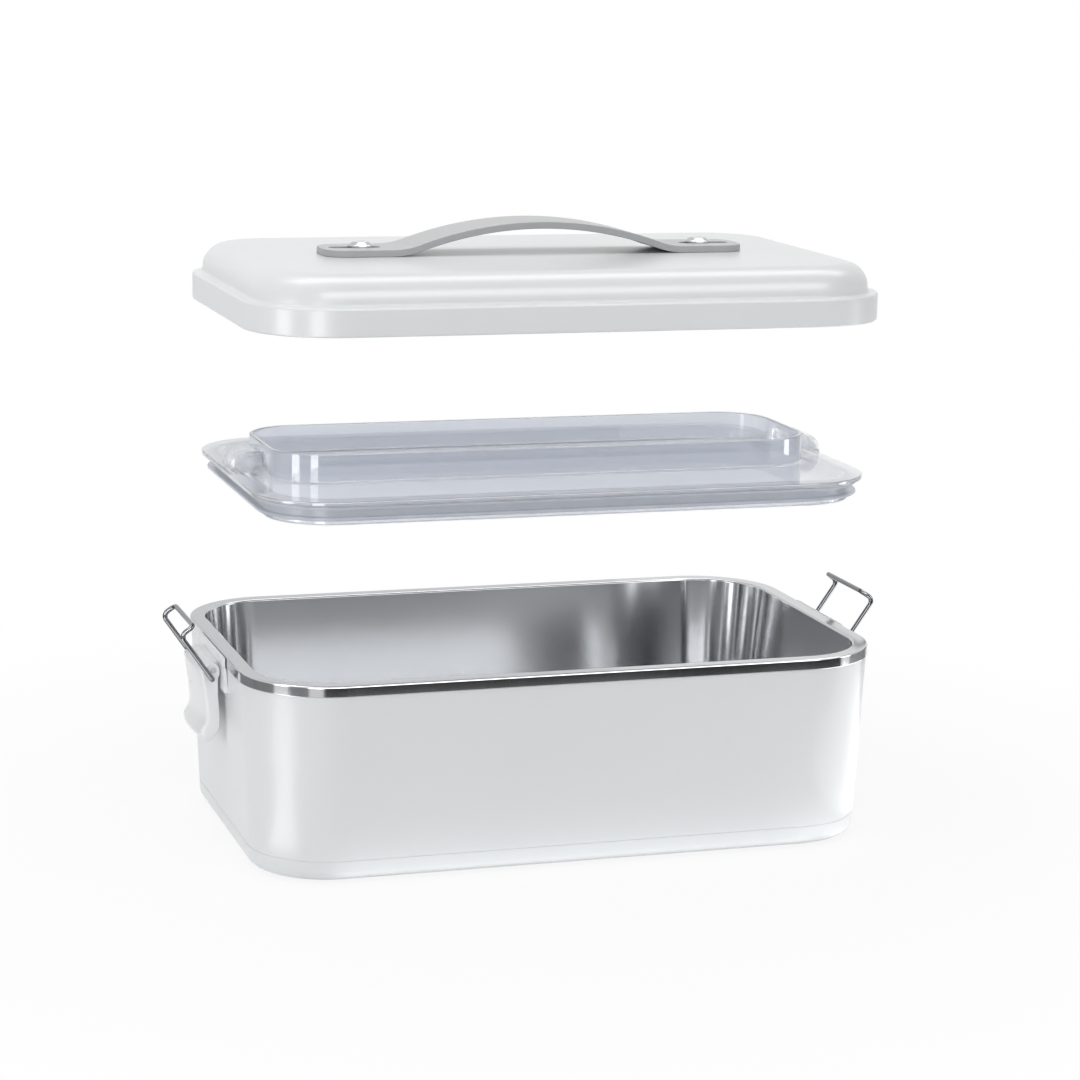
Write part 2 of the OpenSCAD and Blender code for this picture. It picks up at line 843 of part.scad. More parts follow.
module lever() {
    bore_spare = 0.3;
    slit_deep = 0.5;
    slit_h = 0.7;
    slit_drop = 8;
    slit_w = 14.4;
    slit_y = 6;
    translate([pin_x, 0, pin_z])
        difference() {
            intersection() {
                union() {
                    crowned()
                        lever_face_area();
                    for (s = [-1, 1])
                        across(lever_wall, s * (barrel_w - lever_wall) / 2)
                            lever_side_area();
                    // The two knuckles, which also hold the bail's feet
                    for (s = [-1, 1])
                        across(knuckle_w, s * (barrel_w - knuckle_w) / 2) {
                            circle(r = barrel_r);
                            translate([-bail_drop / 2, -bail_drop - wire_d])
                                square([face_out + bail_drop / 2 - lever_wall / 2, bail_drop + wire_d]);
                        }
                }
                // Outline seen from the end of the box, with rounded lower corners
                translate([-rim_r / 2, 0, 0])
                    rotate([90, 0, 90])
                        linear_extrude(height = rim_r)
                            union() {
                                translate([0, -lever_l / 2])
                                    rounded_area(barrel_w / 2, lever_l / 2, lever_corner_r);
                                translate([-barrel_w / 2, -lever_l / 2])
                                    square([barrel_w, lever_l / 2 + barrel_r + over]);
                            }
            }
            rotate([90, 0, 0])
                cylinder(h = barrel_w + over, d = pin_d + 2 * run_gap, center = true);
            for (s = [-1, 1])
                translate([bail_out, s * barrel_w / 2, -bail_drop])
                    rotate([90, 0, 0])
                        cylinder(
                            h = 2 * (bail_foot_l + bore_spare), d = wire_d + 2 * run_gap, center = true
                        );
            // Slit across the upper part of the face
            intersection() {
                crowned()
                    translate([face_out - waist_in * slit_drop / lever_l - slit_deep, -slit_drop])
                        square([over, slit_h]);
                translate([-rim_r / 2, slit_y - slit_w / 2, -lever_l])
                    cube([rim_r, slit_w, lever_l]);
            }
        }
}

module lever_right() {
    color(housing_color)
        lever();
}

module lever_left() {
    color(housing_color)
        mirror([1, 0, 0])
            lever();
}

// A quarter bend of wire with radius r: from +Y round to +Z, about the X axis.
module wire_bend(r) {
    rotate([0, 90, 0])
        rotate_extrude(angle = 90)
            translate([r, 0])
                circle(d = wire_d);
}

// Half of a bail, from its foot to the middle of its bar: arm up Z, hook in towards -X.
module bail_half() {
    b = wire_bend_r;
    // The bend at the foot starts where the lever's barrel ends
    foot_b = arm_y - barrel_w / 2;
    translate([0, barrel_w / 2 - bail_foot_l, 0])
        rotate([-90, 0, 0])
            cylinder(h = bail_foot_l, d = wire_d);
    translate([0, arm_y - foot_b, foot_b])
        wire_bend(foot_b);
    translate([0, arm_y, foot_b])
        cylinder(h = arm_l - foot_b - b, d = wire_d);
    translate([-b, arm_y, arm_l - b])
        rotate([90, 0, 0])
            rotate_extrude(angle = 90)
                translate([b, 0])
                    circle(d = wire_d);
    translate([-hook_l + b, arm_y, arm_l])
        rotate([0, 90, 0])
            cylinder(h = hook_l - 2 * b, d = wire_d);
    translate([-hook_l + b, arm_y - b, arm_l])
        rotate([0, 0, 90])
            rotate_extrude(angle = 90)
                translate([b, 0])
                    circle(d = wire_d);
    translate([-hook_l, 0, arm_l])
        rotate([-90, 0, 0])
            cylinder(h = arm_y - b, d = wire_d);
}

module bail() {
    translate([foot_x, 0, foot_z])
        rotate([0, bail_tilt, 0])
            for (s = [0, 1])
                mirror([0, s, 0])
                    bail_half();
}

module bail_right() {
    color(chrome_color)
        bail();
}

module bail_left() {
    color(chrome_color)
        mirror([1, 0, 0])
            bail();
}

// ---------- Container ----------

module steel_container() {
    low_r = opening_r + sheet_t - container_inset;
    bead = 0.5;
    color(steel_color)
        filled(corner_x, corner_y, pot_under_z, pot_under_z + sheet_t)
            difference() {
                union() {
                    tub_section(
                        low_r, opening_r + sheet_t, pot_under_z, rim_z, container_edge_r, sheet_t
                    );
                    // Flat rim and the band that hangs from it
                    translate([opening_r, rim_z - sheet_t])
                        square([rim_flat_w, sheet_t]);
                    translate([rim_r - sheet_t, band_z])
                        square([sheet_t, band_h]);
                }
                translate([rim_r - bead, rim_z - bead])
                    round_off(bead, 1, 1);
            }
}

// ---------- Clear inner lid ----------

module clear_inner_lid() {
    flange_r = rim_r - inner_inset;
    bead_r = rim_r - plug_inset;
    plug_r = bead_r - bead_out;
    tray_x = rim_l / 2 - tray_end_inset;
    tray_y = rim_w / 2 - tray_side_inset;
    lug_x = rim_l / 2 - lug_inset;
    color(clear_color) {
        translate([0, 0, inner_z]) {
            filled(corner_x, corner_y, 0, inner_t) {
                square([flange_r, inner_t]);
                // Plug and its bead
                translate([plug_r - plug_t, -plug_h])
                    square([plug_t, plug_h + inner_t / 2]);
                translate([plug_r - plug_t, -plug_h])
                    square([plug_t + bead_out, bead_h]);
            }
            // Wall of the cutlery tray
            translate([0, 0, inner_t / 2])
                linear_extrude(height = tray_h + inner_t / 2)
                    difference() {
                        rounded_area(tray_x, tray_y, tray_r);
                        rounded_area(tray_x - tray_t, tray_y - tray_t, tray_r - tray_t);
                    }
            for (s = [0, 1])
                mirror([s, 0, 0])
                    end_lug(tray_x - tray_t / 2, lug_x);
        }
    }
}

// A hollow lug between the tray's end wall and the flange, open outwards through a slot.
module end_lug(x0, x1) {
    slot = 3;
    sill = 0.8;
    difference() {
        lug_solid(x0, x1, lug_h, lug_w, lug_r);
        lug_solid(x0 + tray_t, x1 - lug_t, lug_h - lug_t, lug_w - 2 * lug_t, lug_r - lug_t);
        translate([x1 - lug_t - over, -slot / 2, inner_t + sill])
            cube([lug_t + 2 * over, slot, lug_h / 2]);
    }
}

module lug_solid(x0, x1, h, w, r) {
    across(w)
        difference() {
            translate([x0, inner_t / 2])
                square([x1 - x0, h + inner_t / 2]);
            translate([x1 - r, inner_t + h - r])
                round_off(r, 1, 1);
        }
}

module inner_lid_gasket() {
    bead_r = rim_r - plug_inset;
    plug_r = bead_r - bead_out;
    seal_r = opening_r - container_inset * plug_h / (rim_z - pot_under_z) - side_gap;
    groove_h = plug_h - bead_h;
    core_t = 1.4;
    fin_end = 0.45;
    color([0.9, 0.92, 0.94, 0.7])
        translate([0, 0, inner_z - groove_h + fit_gap])
            around(corner_x, corner_y) {
                translate([plug_r + fit_gap, 0])
                    square([core_t, groove_h - 2 * fit_gap]);
                for (z = [fin_end, groove_h - fin_t - fin_end])
                    translate([plug_r + fit_gap, z])
                        square([seal_r - plug_r - fit_gap, fin_t]);
            }
}

// ---------- Outer lid ----------

module outer_lid_shell() {
    ledge_r = lid_r - ledge_w;
    top_r = ledge_r - dome_r;
    inner_dome_r = dome_r - lid_wall;
    top_h = flange_h + dome_h;
    blend = 1;
    root = 0.2;
    color(housing_color)
        difference() {
            translate([0, 0, lid_z])
                filled(corner_x, corner_y, top_h - lid_wall, top_h)
                    difference() {
                        union() {
                            difference() {
                                square([lid_r, flange_h]);
                                translate([lid_r - flange_edge_r, flange_h - flange_edge_r])
                                    round_off(flange_edge_r, 1, 1);
                                translate([lid_r - flange_edge_r, flange_edge_r])
                                    round_off(flange_edge_r, 1, -1);
                            }
                            difference() {
                                translate([0, flange_h - over])
                                    square([ledge_r, dome_h + over]);
                                translate([top_r, top_h - dome_r])
                                    round_off(dome_r, 1, 1);
                            }
                            // Fillet between the ledge and the dome
                            difference() {
                                translate([ledge_r - root, flange_h - root])
                                    square(blend + root);
                                translate([ledge_r + blend, flange_h + blend])
                                    circle(r = blend);
                            }
                        }
                        translate([-over, -over])
                            square([lid_r - lid_wall + over, flange_h - lid_wall + over]);
                        difference() {
                            translate([-over, 0])
                                square([ledge_r - lid_wall + over, top_h - lid_wall]);
                            translate([top_r, top_h - dome_r])
                                round_off(inner_dome_r, 1, 1);
                        }
                    }
            for (s = [-1, 1])
                translate([s * rivet_x, 0, lid_top_z - lid_wall - over])
                    cylinder(h = lid_wall + 2 * over, d = rivet_d + 2 * fit_gap);
        }
}

rivet_in = 2.6;
slot_mid = strap_span / 2 + slot_start + slot_l / 2;
rivet_x = slot_mid - slot_l / 2 + rivet_head_d / 2 + rivet_in;

rise_angle = 2 * atan(strap_rise / (strap_span / 2));
arch_r = strap_span / 2 / sin(rise_angle) - strap_foot_r;
arch_steps = 12;
foot_steps = 4;

// Point of the strap's right half at the distance d above its middle line: t from 0 at the
// middle of the arch to 1 at its end, and on to 2 along the curve down to the lid.
function strap_point(t, d) = t <= 1
    ? [(arch_r + d) * sin(t * rise_angle),
       strap_t / 2 + strap_rise - arch_r + (arch_r + d) * cos(t * rise_angle)]
    : [strap_span / 2 - (strap_foot_r - d) * sin((2 - t) * rise_angle),
       strap_t / 2 + strap_foot_r - (strap_foot_r - d) * cos((2 - t) * rise_angle)];

module strap_handle() {
    end_mid = strap_span / 2 + strap_end_l / 2;
    overlap = 0.5;
    steps = concat(
        [for (i = [0:arch_steps - 1]) i / arch_steps],
        [for (i = [0:foot_steps]) 1 + i / foot_steps]
    );
    upper = [for (t = steps) strap_point(t, strap_t / 2)];
    lower = [for (t = steps) strap_point(t, -strap_t / 2)];
    last = len(steps) - 1;
    color(strap_color)
        translate([0, 0, lid_top_z + fit_gap]) {
            // Arch and the curves down to the lid
            across(strap_w)
                polygon(concat(
                    [for (i = [last:-1:1]) [-upper[i].x, upper[i].y]], upper,
                    [for (i = [last:-1:0]) lower[i]], [for (i = [1:last]) [-lower[i].x, lower[i].y]]
                ));
            for (s = [0, 1])
                mirror([s, 0, 0])
                    // Flat end with its slot
                    linear_extrude(height = strap_t)
                        difference() {
                            union() {
                                translate([end_mid, 0])
                                    rounded_area(strap_end_l / 2, strap_w / 2, strap_end_r);
                                translate([strap_span / 2 - overlap, -strap_w / 2])
                                    square([strap_end_l / 2, strap_w]);
                            }
                            translate([slot_mid, 0])
                                rounded_area(slot_l / 2, slot_w / 2, slot_w / 2 - fit_gap / 2);
                        }
        }
}

module handle_rivets() {
    head_z = lid_top_z + strap_t + 2 * fit_gap;
    peen_h = 1.6;
    peen_out = 1;
    shank_z = lid_top_z - lid_wall - washer_t - 2 * fit_gap - peen_h;
    edge = 0.9;
    color(chrome_color)
        for (s = [-1, 1])
            translate([s * rivet_x, 0, 0]) {
                translate([0, 0, head_z])
                    rotate_extrude()
                        difference() {
                            square([rivet_head_d / 2, rivet_head_h]);
                            translate([rivet_head_d / 2 - edge, rivet_head_h - edge])
                                round_off(edge, 1, 1);
                        }
                translate([0, 0, shank_z])
                    cylinder(h = head_z - shank_z + fit_gap, d = rivet_d);
                // Peened end
                translate([0, 0, shank_z])
                    cylinder(h = peen_h, d = rivet_d + 2 * peen_out);
            }
}

module rivet_washers() {
    color(steel_color)
        for (s = [-1, 1])
            translate([s * rivet_x, 0, lid_top_z - lid_wall - washer_t - fit_gap])
                difference() {
                    cylinder(h = washer_t, d = washer_d);
                    translate([0, 0, -over])
                        cylinder(h = washer_t + 2 * over, d = rivet_d + 2 * fit_gap);
                }
}

outer_housing();
base_cover();
rubber_feet();
base_screws();
inner_liner();
heating_plate();
heating_element();
element_clamp();
thermostat();
thermal_fuse();
internal_leads();
power_inlet();
inlet_contacts();
power_light_lens();
power_light();
latch_bracket_left();
latch_bracket_right();
lever_pins();
steel_container();
clear_inner_lid();
inner_lid_gasket();
outer_lid_shell();
strap_handle();
handle_rivets();
rivet_washers();
lever_left();
lever_right();
bail_left();
bail_right();
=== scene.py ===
"""Electric lunch box with its clear tray lid and its outer lid lifted off, in metres."""

import math

import bmesh
import bpy
from bpy.props import FloatProperty, FloatVectorProperty, IntProperty, PointerProperty
from mathutils import Matrix, Vector


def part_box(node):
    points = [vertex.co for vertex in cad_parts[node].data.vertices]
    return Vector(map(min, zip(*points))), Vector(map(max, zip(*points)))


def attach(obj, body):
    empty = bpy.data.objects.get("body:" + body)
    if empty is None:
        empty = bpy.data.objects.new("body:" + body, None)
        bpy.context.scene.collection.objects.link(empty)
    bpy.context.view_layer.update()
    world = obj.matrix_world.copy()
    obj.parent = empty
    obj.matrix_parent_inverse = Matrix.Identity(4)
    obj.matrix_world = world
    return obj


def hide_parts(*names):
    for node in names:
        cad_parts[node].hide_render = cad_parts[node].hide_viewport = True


bl_info = {
    "name": "Electric lunch box",
    "version": (1, 0, 0),
    "blender": (4, 5, 0),
    "location": "3D View > Sidebar > Lunch box",
    "description": "Dresses the parts with moulded, pressed and bent shapes and their finishes",
    "category": "Object",
}

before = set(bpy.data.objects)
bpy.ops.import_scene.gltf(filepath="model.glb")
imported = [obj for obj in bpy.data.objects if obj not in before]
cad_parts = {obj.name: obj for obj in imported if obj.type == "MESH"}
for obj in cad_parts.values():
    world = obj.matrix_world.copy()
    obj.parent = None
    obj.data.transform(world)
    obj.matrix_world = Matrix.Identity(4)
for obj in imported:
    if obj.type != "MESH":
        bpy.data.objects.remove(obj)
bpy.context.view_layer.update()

MM = 0.001
GAP = 0.02  # between fitted pieces, in millimetres
HUB = 2.3  # radius of the latches' knuckles, in millimetres
UPWARDS = (0, 0, 1)
ACROSS = (0, 1, 0)
WHITE = (1.0, 1.0, 1.0, 1.0)

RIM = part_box("steel_container")
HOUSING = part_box("outer_housing")
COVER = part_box("base_cover")
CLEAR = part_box("clear_inner_lid")
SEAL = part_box("inner_lid_gasket")
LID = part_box("outer_lid_shell")
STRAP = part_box("strap_handle")
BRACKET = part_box("latch_bracket_right")
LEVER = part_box("lever_right")
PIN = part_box("lever_pins")
PIN_R = (PIN[1].z - PIN[0].z) / 2
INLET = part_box("power_inlet")
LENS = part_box("power_light_lens")


# ---- Sizes and colours that a user would change ----

def size(name, description, default):
    return FloatProperty(
        name=name, description=description, default=default, min=0, max=1, unit="LENGTH",
        precision=5,
    )


def colour(name, description, default):
    return FloatVectorProperty(
        name=name, description=description, default=default, min=0, max=1, size=3,
        subtype="COLOR",
    )


def light(name, description, default, high):
    return FloatProperty(name=name, description=description, default=default, min=0, max=high)


class LunchBoxBody(bpy.types.PropertyGroup):
    """The heated housing and the steel container."""

    corner: size("Corner radius", "Radius of the steel rim's corners, in plan", 0.032)
    opening: size("Opening corner", "Radius of the opening's corners, in plan", 0.0263)
    lean: size("Wall lean", "How much further in each wall is at the base", 0.0032)
    wall: size("Housing wall", "Thickness of the housing's wall", 0.0022)
    sheet: size("Sheet", "Thickness of the container's steel", 0.0008)
    turn_steps: IntProperty(
        name="Corner steps", description="Facets in each quarter turn", default=28, min=4, max=64
    )
    shell: colour("Shell", "White plastic of the housing and the outer lid", (0.80, 0.82, 0.83))
    steel: colour("Steel", "Polished stainless steel", (0.54, 0.545, 0.555))


class LunchBoxLids(bpy.types.PropertyGroup):
    """The clear tray lid and the domed outer lid with its strap."""

    dome_round: size("Dome rounding", "Rounding over the edge of the dome", 0.0089)
    flange: size("Flange height", "Height of the outer lid's upright flange", 0.0099)
    ledge: size("Ledge", "Width of the ledge around the dome", 0.0037)
    lid_wall: size("Lid wall", "Thickness of the outer lid", 0.0018)
    strap_round: size("Strap edge", "Rounding of the strap's edges", 0.0009)
    clear: colour("Clear plastic", "Tint of the clear lid", (0.84, 0.87, 0.94))
    strap: colour("Strap", "Grey elastomer of the strap", (0.545, 0.55, 0.56))


class LunchBoxLatches(bpy.types.PropertyGroup):
    """The two wire latches."""

    lever_wall: size("Lever wall", "Thickness of the lever's shell", 0.0020)
    plastic: colour("Latch plastic", "White plastic of the levers and brackets", (0.86, 0.87, 0.88))
    chrome: colour("Chrome", "Bright plated rivets", (0.52, 0.525, 0.535))
    # The wire's dark tone is a painted dark reflection, standing in for the dark surroundings that
    # the bright wire reflects
    wire: colour("Wire", "Dark plated wire of the bails", (0.22, 0.225, 0.235))


class LunchBoxStage(bpy.types.PropertyGroup):
    """Floor, light and camera."""

    floor: colour("Floor", "Pale floor", (0.92, 0.92, 0.925))
    sky: light("Sky", "Even light from all round", 0.44, 3)
    key: light("Lamps", "Brightness of the lamps", 1.9, 20)
    focal: FloatProperty(
        name="Focal length", description="Focal length of the camera", default=100.364,
        subtype="DISTANCE_CAMERA",
    )


# ---- Node materials ----

def maths(operation, swapped=False):
    """A method that makes one sum of a value and another value or number."""
    def method(self, other):
        pair = (other, self) if swapped else (self, other)
        return self.nodes.add("ShaderNodeMath", {"operation": operation}, pair)
    return method


class Value:
    """A socket in a node tree that takes part in Python expressions."""

    def __init__(self, nodes, socket):
        self.nodes = nodes
        self.socket = socket

    __add__ = maths("ADD")
    __radd__ = maths("ADD", True)
    __sub__ = maths("SUBTRACT")
    __rsub__ = maths("SUBTRACT", True)
    __mul__ = maths("MULTIPLY")
    __rmul__ = maths("MULTIPLY", True)

    def __abs__(self):
        return self.nodes.add("ShaderNodeMath", {"operation": "ABSOLUTE"}, (self,))


class Nodes:
    """A node tree, emptied, and the one method that adds a node to it."""

    def __init__(self, tree):
        self.tree = tree
        tree.nodes.clear()

    def feed(self, socket, value):
        if isinstance(value, Value):
            self.tree.links.new(value.socket, socket)
        else:
            socket.default_value = value

    def add(self, kind, settings=None, inputs=(), output=0):
        """Adds a node: its settings first, then the values or links of its sockets."""
        node = self.tree.nodes.new(kind)
        for key, value in (settings or {}).items():
            setattr(node, key, value)
        pairs = inputs.items() if isinstance(inputs, dict) else enumerate(inputs)
        for key, value in pairs:
            self.feed(node.inputs[key], value)
        return Value(self, node.outputs[output]) if node.outputs else node

    def seen(self):
        """1 on rays from the camera, in reflections and through clear parts, 0 on other rays."""
        flags = [self.add("ShaderNodeLightPath", output=name) for name in (
            "Is Camera Ray", "Is Glossy Ray", "Is Transmission Ray")]
        return self.add("ShaderNodeClamp", None, {"Value": flags[0] + flags[1] + flags[2]})


class Paint(Nodes):
    """One material: a Principled shader and the nodes that feed it."""

    def __init__(self, name, colour, **sockets):
        self.material = bpy.data.materials.new(name)
        self.material.use_nodes = True
        super().__init__(self.material.node_tree)
        self.output = self.tree.nodes.new("ShaderNodeOutputMaterial")
        self.shader = self.tree.nodes.new("ShaderNodeBsdfPrincipled")
        self.surface(Value(self, self.shader.outputs[0]))
        self.colour = colour
        self.set("Base Color", (*colour, 1.0))
        for socket, value in sockets.items():
            self.set(socket.replace("_", " "), value)

    def surface(self, value):
        self.feed(self.output.inputs["Surface"], value)

    def set(self, socket, value):
        self.feed(self.shader.inputs[socket], value)

    def place(self, stretch=(1, 1, 1)):
        """Object coordinates, stretched along each axis."""
        spot = self.add("ShaderNodeTexCoord", output="Object")
        return self.add(
            "ShaderNodeMapping", {"vector_type": "POINT"}, {"Vector": spot, "Scale": stretch}
        )

    def noise(self, scale, detail=2.0, stretch=(1, 1, 1)):
        return self.add(
            "ShaderNodeTexNoise", None,
            {"Vector": self.place(stretch), "Scale": scale, "Detail": detail, "Roughness": 0.5},
        )

    def cells(self, scale):
        """How far it is to the middle of the nearest of many small cells."""
        return self.add(
            "ShaderNodeTexVoronoi", {"feature": "F1"}, {"Vector": self.place(), "Scale": scale}
        )

    def eased(self, value, start, end, low=0.0, high=1.0):
        """Goes smoothly from low to high while the value goes from start to end."""
        return self.add("ShaderNodeMapRange", {"interpolation_type": "SMOOTHSTEP"}, {
            "Value": value, "From Min": start, "From Max": end, "To Min": low, "To Max": high,
        })

    def blend(self, factor, low, high):
        """Mixes two colours, each three numbers or a value, by a factor."""
        full = [c if isinstance(c, Value) else (*c, 1.0) for c in (low, high)]
        return self.add(
            "ShaderNodeMix", {"data_type": "RGBA"}, {0: factor, 6: full[0], 7: full[1]}, output=2
        )

    def shade(self, factor):
        """The material's own colour, darker or brighter by a factor."""
        return tuple(min(1.0, c * factor) for c in self.colour)

    def shades(self, value, low, high):
        """The material's own colour, times low where a value is 0 and times high where it is 1."""
        return self.blend(value, self.shade(low), self.shade(high))

    def done(self, tone, roughness, height, distance, strength):
        """Sets the colour, the roughness and a fine relief, and returns the material."""
        self.set("Base Color", tone)
        self.set("Roughness", roughness)
        self.set("Normal", self.add(
            "ShaderNodeBump", None, {"Strength": strength, "Distance": distance, "Height": height}
        ))
        return self.material


def moulded_plastic(name, colour, roughness=0.30, grain=0.000004, coat=0.12):
    """Satin injection-moulded plastic: a fine mould grain, and slow changes in tone and gloss."""
    paint = Paint(name, colour, Specular_IOR_Level=0.5, IOR=1.5, Coat_Roughness=0.12)
    cloud = paint.noise(14.0, 3.0)
    fine = paint.noise(2600.0)
    paint.set("Coat Weight", coat * (0.6 + 0.8 * cloud))
    rough = roughness - 0.04 + 0.05 * cloud + 0.03 * fine
    return paint.done(paint.shades(cloud, 0.982, 1.012), rough, fine, grain, 0.5)


def matt_plastic(name, colour, roughness=0.55, grain=0.00002):
    """Plain moulded plastic with a coarser spark-eroded grain."""
    paint = Paint(name, colour, IOR=1.49)
    grit = paint.noise(1500.0, 4.0)
    cloud = paint.noise(40.0)
    rough = roughness + 0.1 * (grit - 0.5)
    return paint.done(paint.shades(cloud, 0.94, 1.04), rough, grit, grain, 0.6)


def polished_steel(name, colour, low=0.07, high=0.14):
    """Pressed stainless steel, polished, with faint drawing marks and a few soft smears."""
    paint = Paint(name, colour, Metallic=1.0)
    marks = paint.noise(900.0, 3.0, (1, 1, 0.02))
    smear = paint.noise(22.0, 4.0)
    rough = low + (high - low) * smear + 0.03 * marks
    return paint.done(paint.shades(smear, 0.95, 1.04), rough, marks, 0.000002, 0.35)


def plated_wire(name, colour):
    """Bright chrome plating with a faint drawn texture under it."""
    paint = Paint(name, colour, Metallic=1.0)
    fine = paint.noise(1400.0)
    patch = paint.noise(160.0, 3.0)
    rough = 0.07 + 0.06 * patch
    return paint.done(paint.shades(patch, 0.93, 1.05), rough, fine, 0.000002, 0.3)


def plain_metal(name, colour, roughness, stretch=(1, 1, 1)):
    """Cast, pressed or turned metal with tool marks."""
    paint = Paint(name, colour, Metallic=1.0)
    marks = paint.noise(700.0, 4.0, stretch)
    rough = roughness + 0.18 * (marks - 0.5)
    return paint.done(paint.shades(marks, 0.86, 1.08), rough, marks, 0.00001, 0.5)


def elastomer(name, colour, roughness=0.42, grain=0.000012, side=1.0):
    """Soft moulded material with a fine leather-like grain and a slight sheen.

    A side under 1 paints shade: the upright faces are darkened to that share and the underside to
    half of it, as if less light fell there.
    """
    paint = Paint(name, colour, IOR=1.47, Sheen_Weight=0.08, Sheen_Roughness=0.4)
    grit = paint.cells(1500.0)
    cloud = paint.noise(60.0, 3.0)
    face = paint.shades(cloud, 0.95, 1.04)
    # Painted shade: upright faces and the underside are darkened by the normal, where less light
    # falls
    if side < 1.0:
        up = paint.add("ShaderNodeSeparateXYZ", None, {
            "Vector": paint.add("ShaderNodeNewGeometry", output="Normal")}, output=2)
        for low, high, dark in ((0.15, 0.6, side), (-0.5, -0.1, 0.5 * side)):
            face = paint.blend(paint.eased(up, low, high), paint.shade(dark), face)
    rough = roughness + 0.10 * (cloud - 0.5) + 0.05 * grit
    return paint.done(face, rough, grit, grain, 0.4)


def clear_moulding(name, colour, roughness=0.045):
    """Clear moulded plastic with a cool tint, gently wavy, and painted light that pales it towards
    its two ends.

    It is thinner to the eye where it bends sharply, along its edges.
    """
    paint = Paint(
        name, colour, IOR=1.49, Transmission_Weight=0.75, Specular_IOR_Level=0.75, Coat_Weight=0.6,
        Coat_Roughness=0.02,
    )
    pale = (0.96, 0.97, 0.985)
    cloud = paint.noise(26.0, 3.0)
    along = paint.add("ShaderNodeSeparateXYZ", None, {"Vector": paint.place()})
    # Painted light: the tone pales towards both ends, standing in for their brighter see-through
    # look
    end = paint.eased(abs(along), 0.088, 0.122, 0.0, 0.6)
    tone = paint.blend(end, paint.shades(cloud, 0.985, 1.01), pale)
    bend = abs(paint.add("ShaderNodeNewGeometry", output="Pointiness") - 0.5)
    paint.set("Alpha", paint.eased(bend, 0.01, 0.045, 1.0, 0.25))
    return paint.done(tone, roughness + 0.03 * cloud, cloud, 0.00004, 0.35)


def clear_rubber(name, colour):
    """Translucent silicone."""
    paint = Paint(name, colour, IOR=1.41)
    cloud = paint.noise(90.0, 3.0)
    paint.set("Alpha", 0.55 + 0.1 * cloud)
    return paint.done((*colour, 1.0), 0.14 + 0.08 * cloud, cloud, 0.00001, 0.4)


def sleeve(name, colour):
    """Woven heat-proof sleeving."""
    paint = Paint(name, colour, IOR=1.45)
    weave = paint.add(
        "ShaderNodeTexWave", {"bands_direction": "DIAGONAL"},
        {"Vector": paint.place(), "Scale": 420.0},
    )
    return paint.done(paint.shades(weave, 0.7, 1.25), 0.5 + 0.2 * weave, weave, 0.00005, 0.6)


def mineral(name, colour, roughness=0.7):
    """Mica board or ceramic: flecked and dry."""
    paint = Paint(name, colour)
    flecks = paint.cells(600.0)
    rough = roughness - 0.2 * flecks
    return paint.done(paint.shades(flecks, 0.8, 1.15), rough, flecks, 0.00002, 0.4)


def tinted_lens(name, colour, alpha):
    """Clear tinted lens."""
    paint = Paint(name, colour, IOR=1.49, Specular_IOR_Level=0.7)
    cloud = paint.noise(300.0)
    paint.set("Alpha", alpha + 0.05 * cloud)
    return paint.done((*colour, 1.0), 0.08 + 0.05 * cloud, cloud, 0.00001, 0.3)


# ---- Modelling helpers ----

def mm(metres):
    return metres / MM


def only(kind, geom):
    """The points, or the edges, among mixed geometry."""
    return [g for g in geom if isinstance(g, kind)]


def points_on(edges):
    return list({vert for edge in edges for vert in edge.verts})


def outward(mesh):
    """Turns every face of a mesh outwards."""
    bmesh.ops.recalc_face_normals(mesh, faces=mesh.faces)
    return mesh


def moved(mesh, way, verts=None):
    """Moves a mesh, or only some of its points."""
    bmesh.ops.translate(mesh, verts=mesh.verts if verts is None else verts, vec=way)
    return mesh


def rounded(mesh, geom, offset, segments, affect="EDGES"):
    """Rounds edges, or the corners of a line."""
    bmesh.ops.bevel(
        mesh, geom=geom, offset=offset, offset_type="OFFSET", segments=segments, profile=0.5,
        affect=affect, material=-1, clamp_overlap=affect == "EDGES",
    )


def joined(mesh, places, closed):
    """Joins places in metres with edges, one after another, and returns their points."""
    verts = [mesh.verts.new(place) for place in places]
    ends = verts[1:] + verts[:1] if closed else verts[1:]
    for start, end in zip(verts, ends):
        mesh.edges.new((start, end))
    return verts


def line(mesh, points, closed, segments, standing=True):
    """A line through (across, up[, rounding]) points in millimetres, with its corners rounded.

    It stands in the plane Y = 0, or else lies in the plane Z = 0.
    """
    verts = joined(mesh, [
        (p[0] * MM, 0, p[1] * MM) if standing else (p[0] * MM, p[1] * MM, 0) for p in points
    ], closed)
    for vert, point in zip(verts, points):
        if len(point) < 3 or len(vert.link_edges) != 2:
            continue
        arms = [(edge.other_vert(vert).co - vert.co).normalized() for edge in vert.link_edges]
        reach = point[2] * MM / math.tan(arms[0].angle(arms[1]) / 2)
        rounded(mesh, [vert], reach, segments, "VERTICES")


def oblong(left, low, right, high, *rounding):
    """The outline of a rectangle, with its four corners alike."""
    return [(*corner, *rounding) for corner in (
        (left, low), (right, low), (right, high), (left, high))]


def drawn(mesh, edges, way):
    """Extrudes a line of edges by a vector, and returns the far line."""
    geom = bmesh.ops.extrude_edge_only(mesh, edges=edges)["geom"]
    fresh = only(bmesh.types.BMVert, geom)
    moved(mesh, way, fresh)
    ends = set(fresh)
    return [edge for edge in only(bmesh.types.BMEdge, geom) if ends.issuperset(edge.verts)]


def turned(mesh, edges, centre, steps):
    """Spins a line of edges a quarter turn about an upright axis, and returns the far line."""
    made = bmesh.ops.spin(
        mesh, geom=points_on(edges) + edges, cent=centre, axis=UPWARDS, angle=math.pi / 2,
        steps=steps, use_duplicate=False,
    )["geom_last"]
    return only(bmesh.types.BMEdge, made)


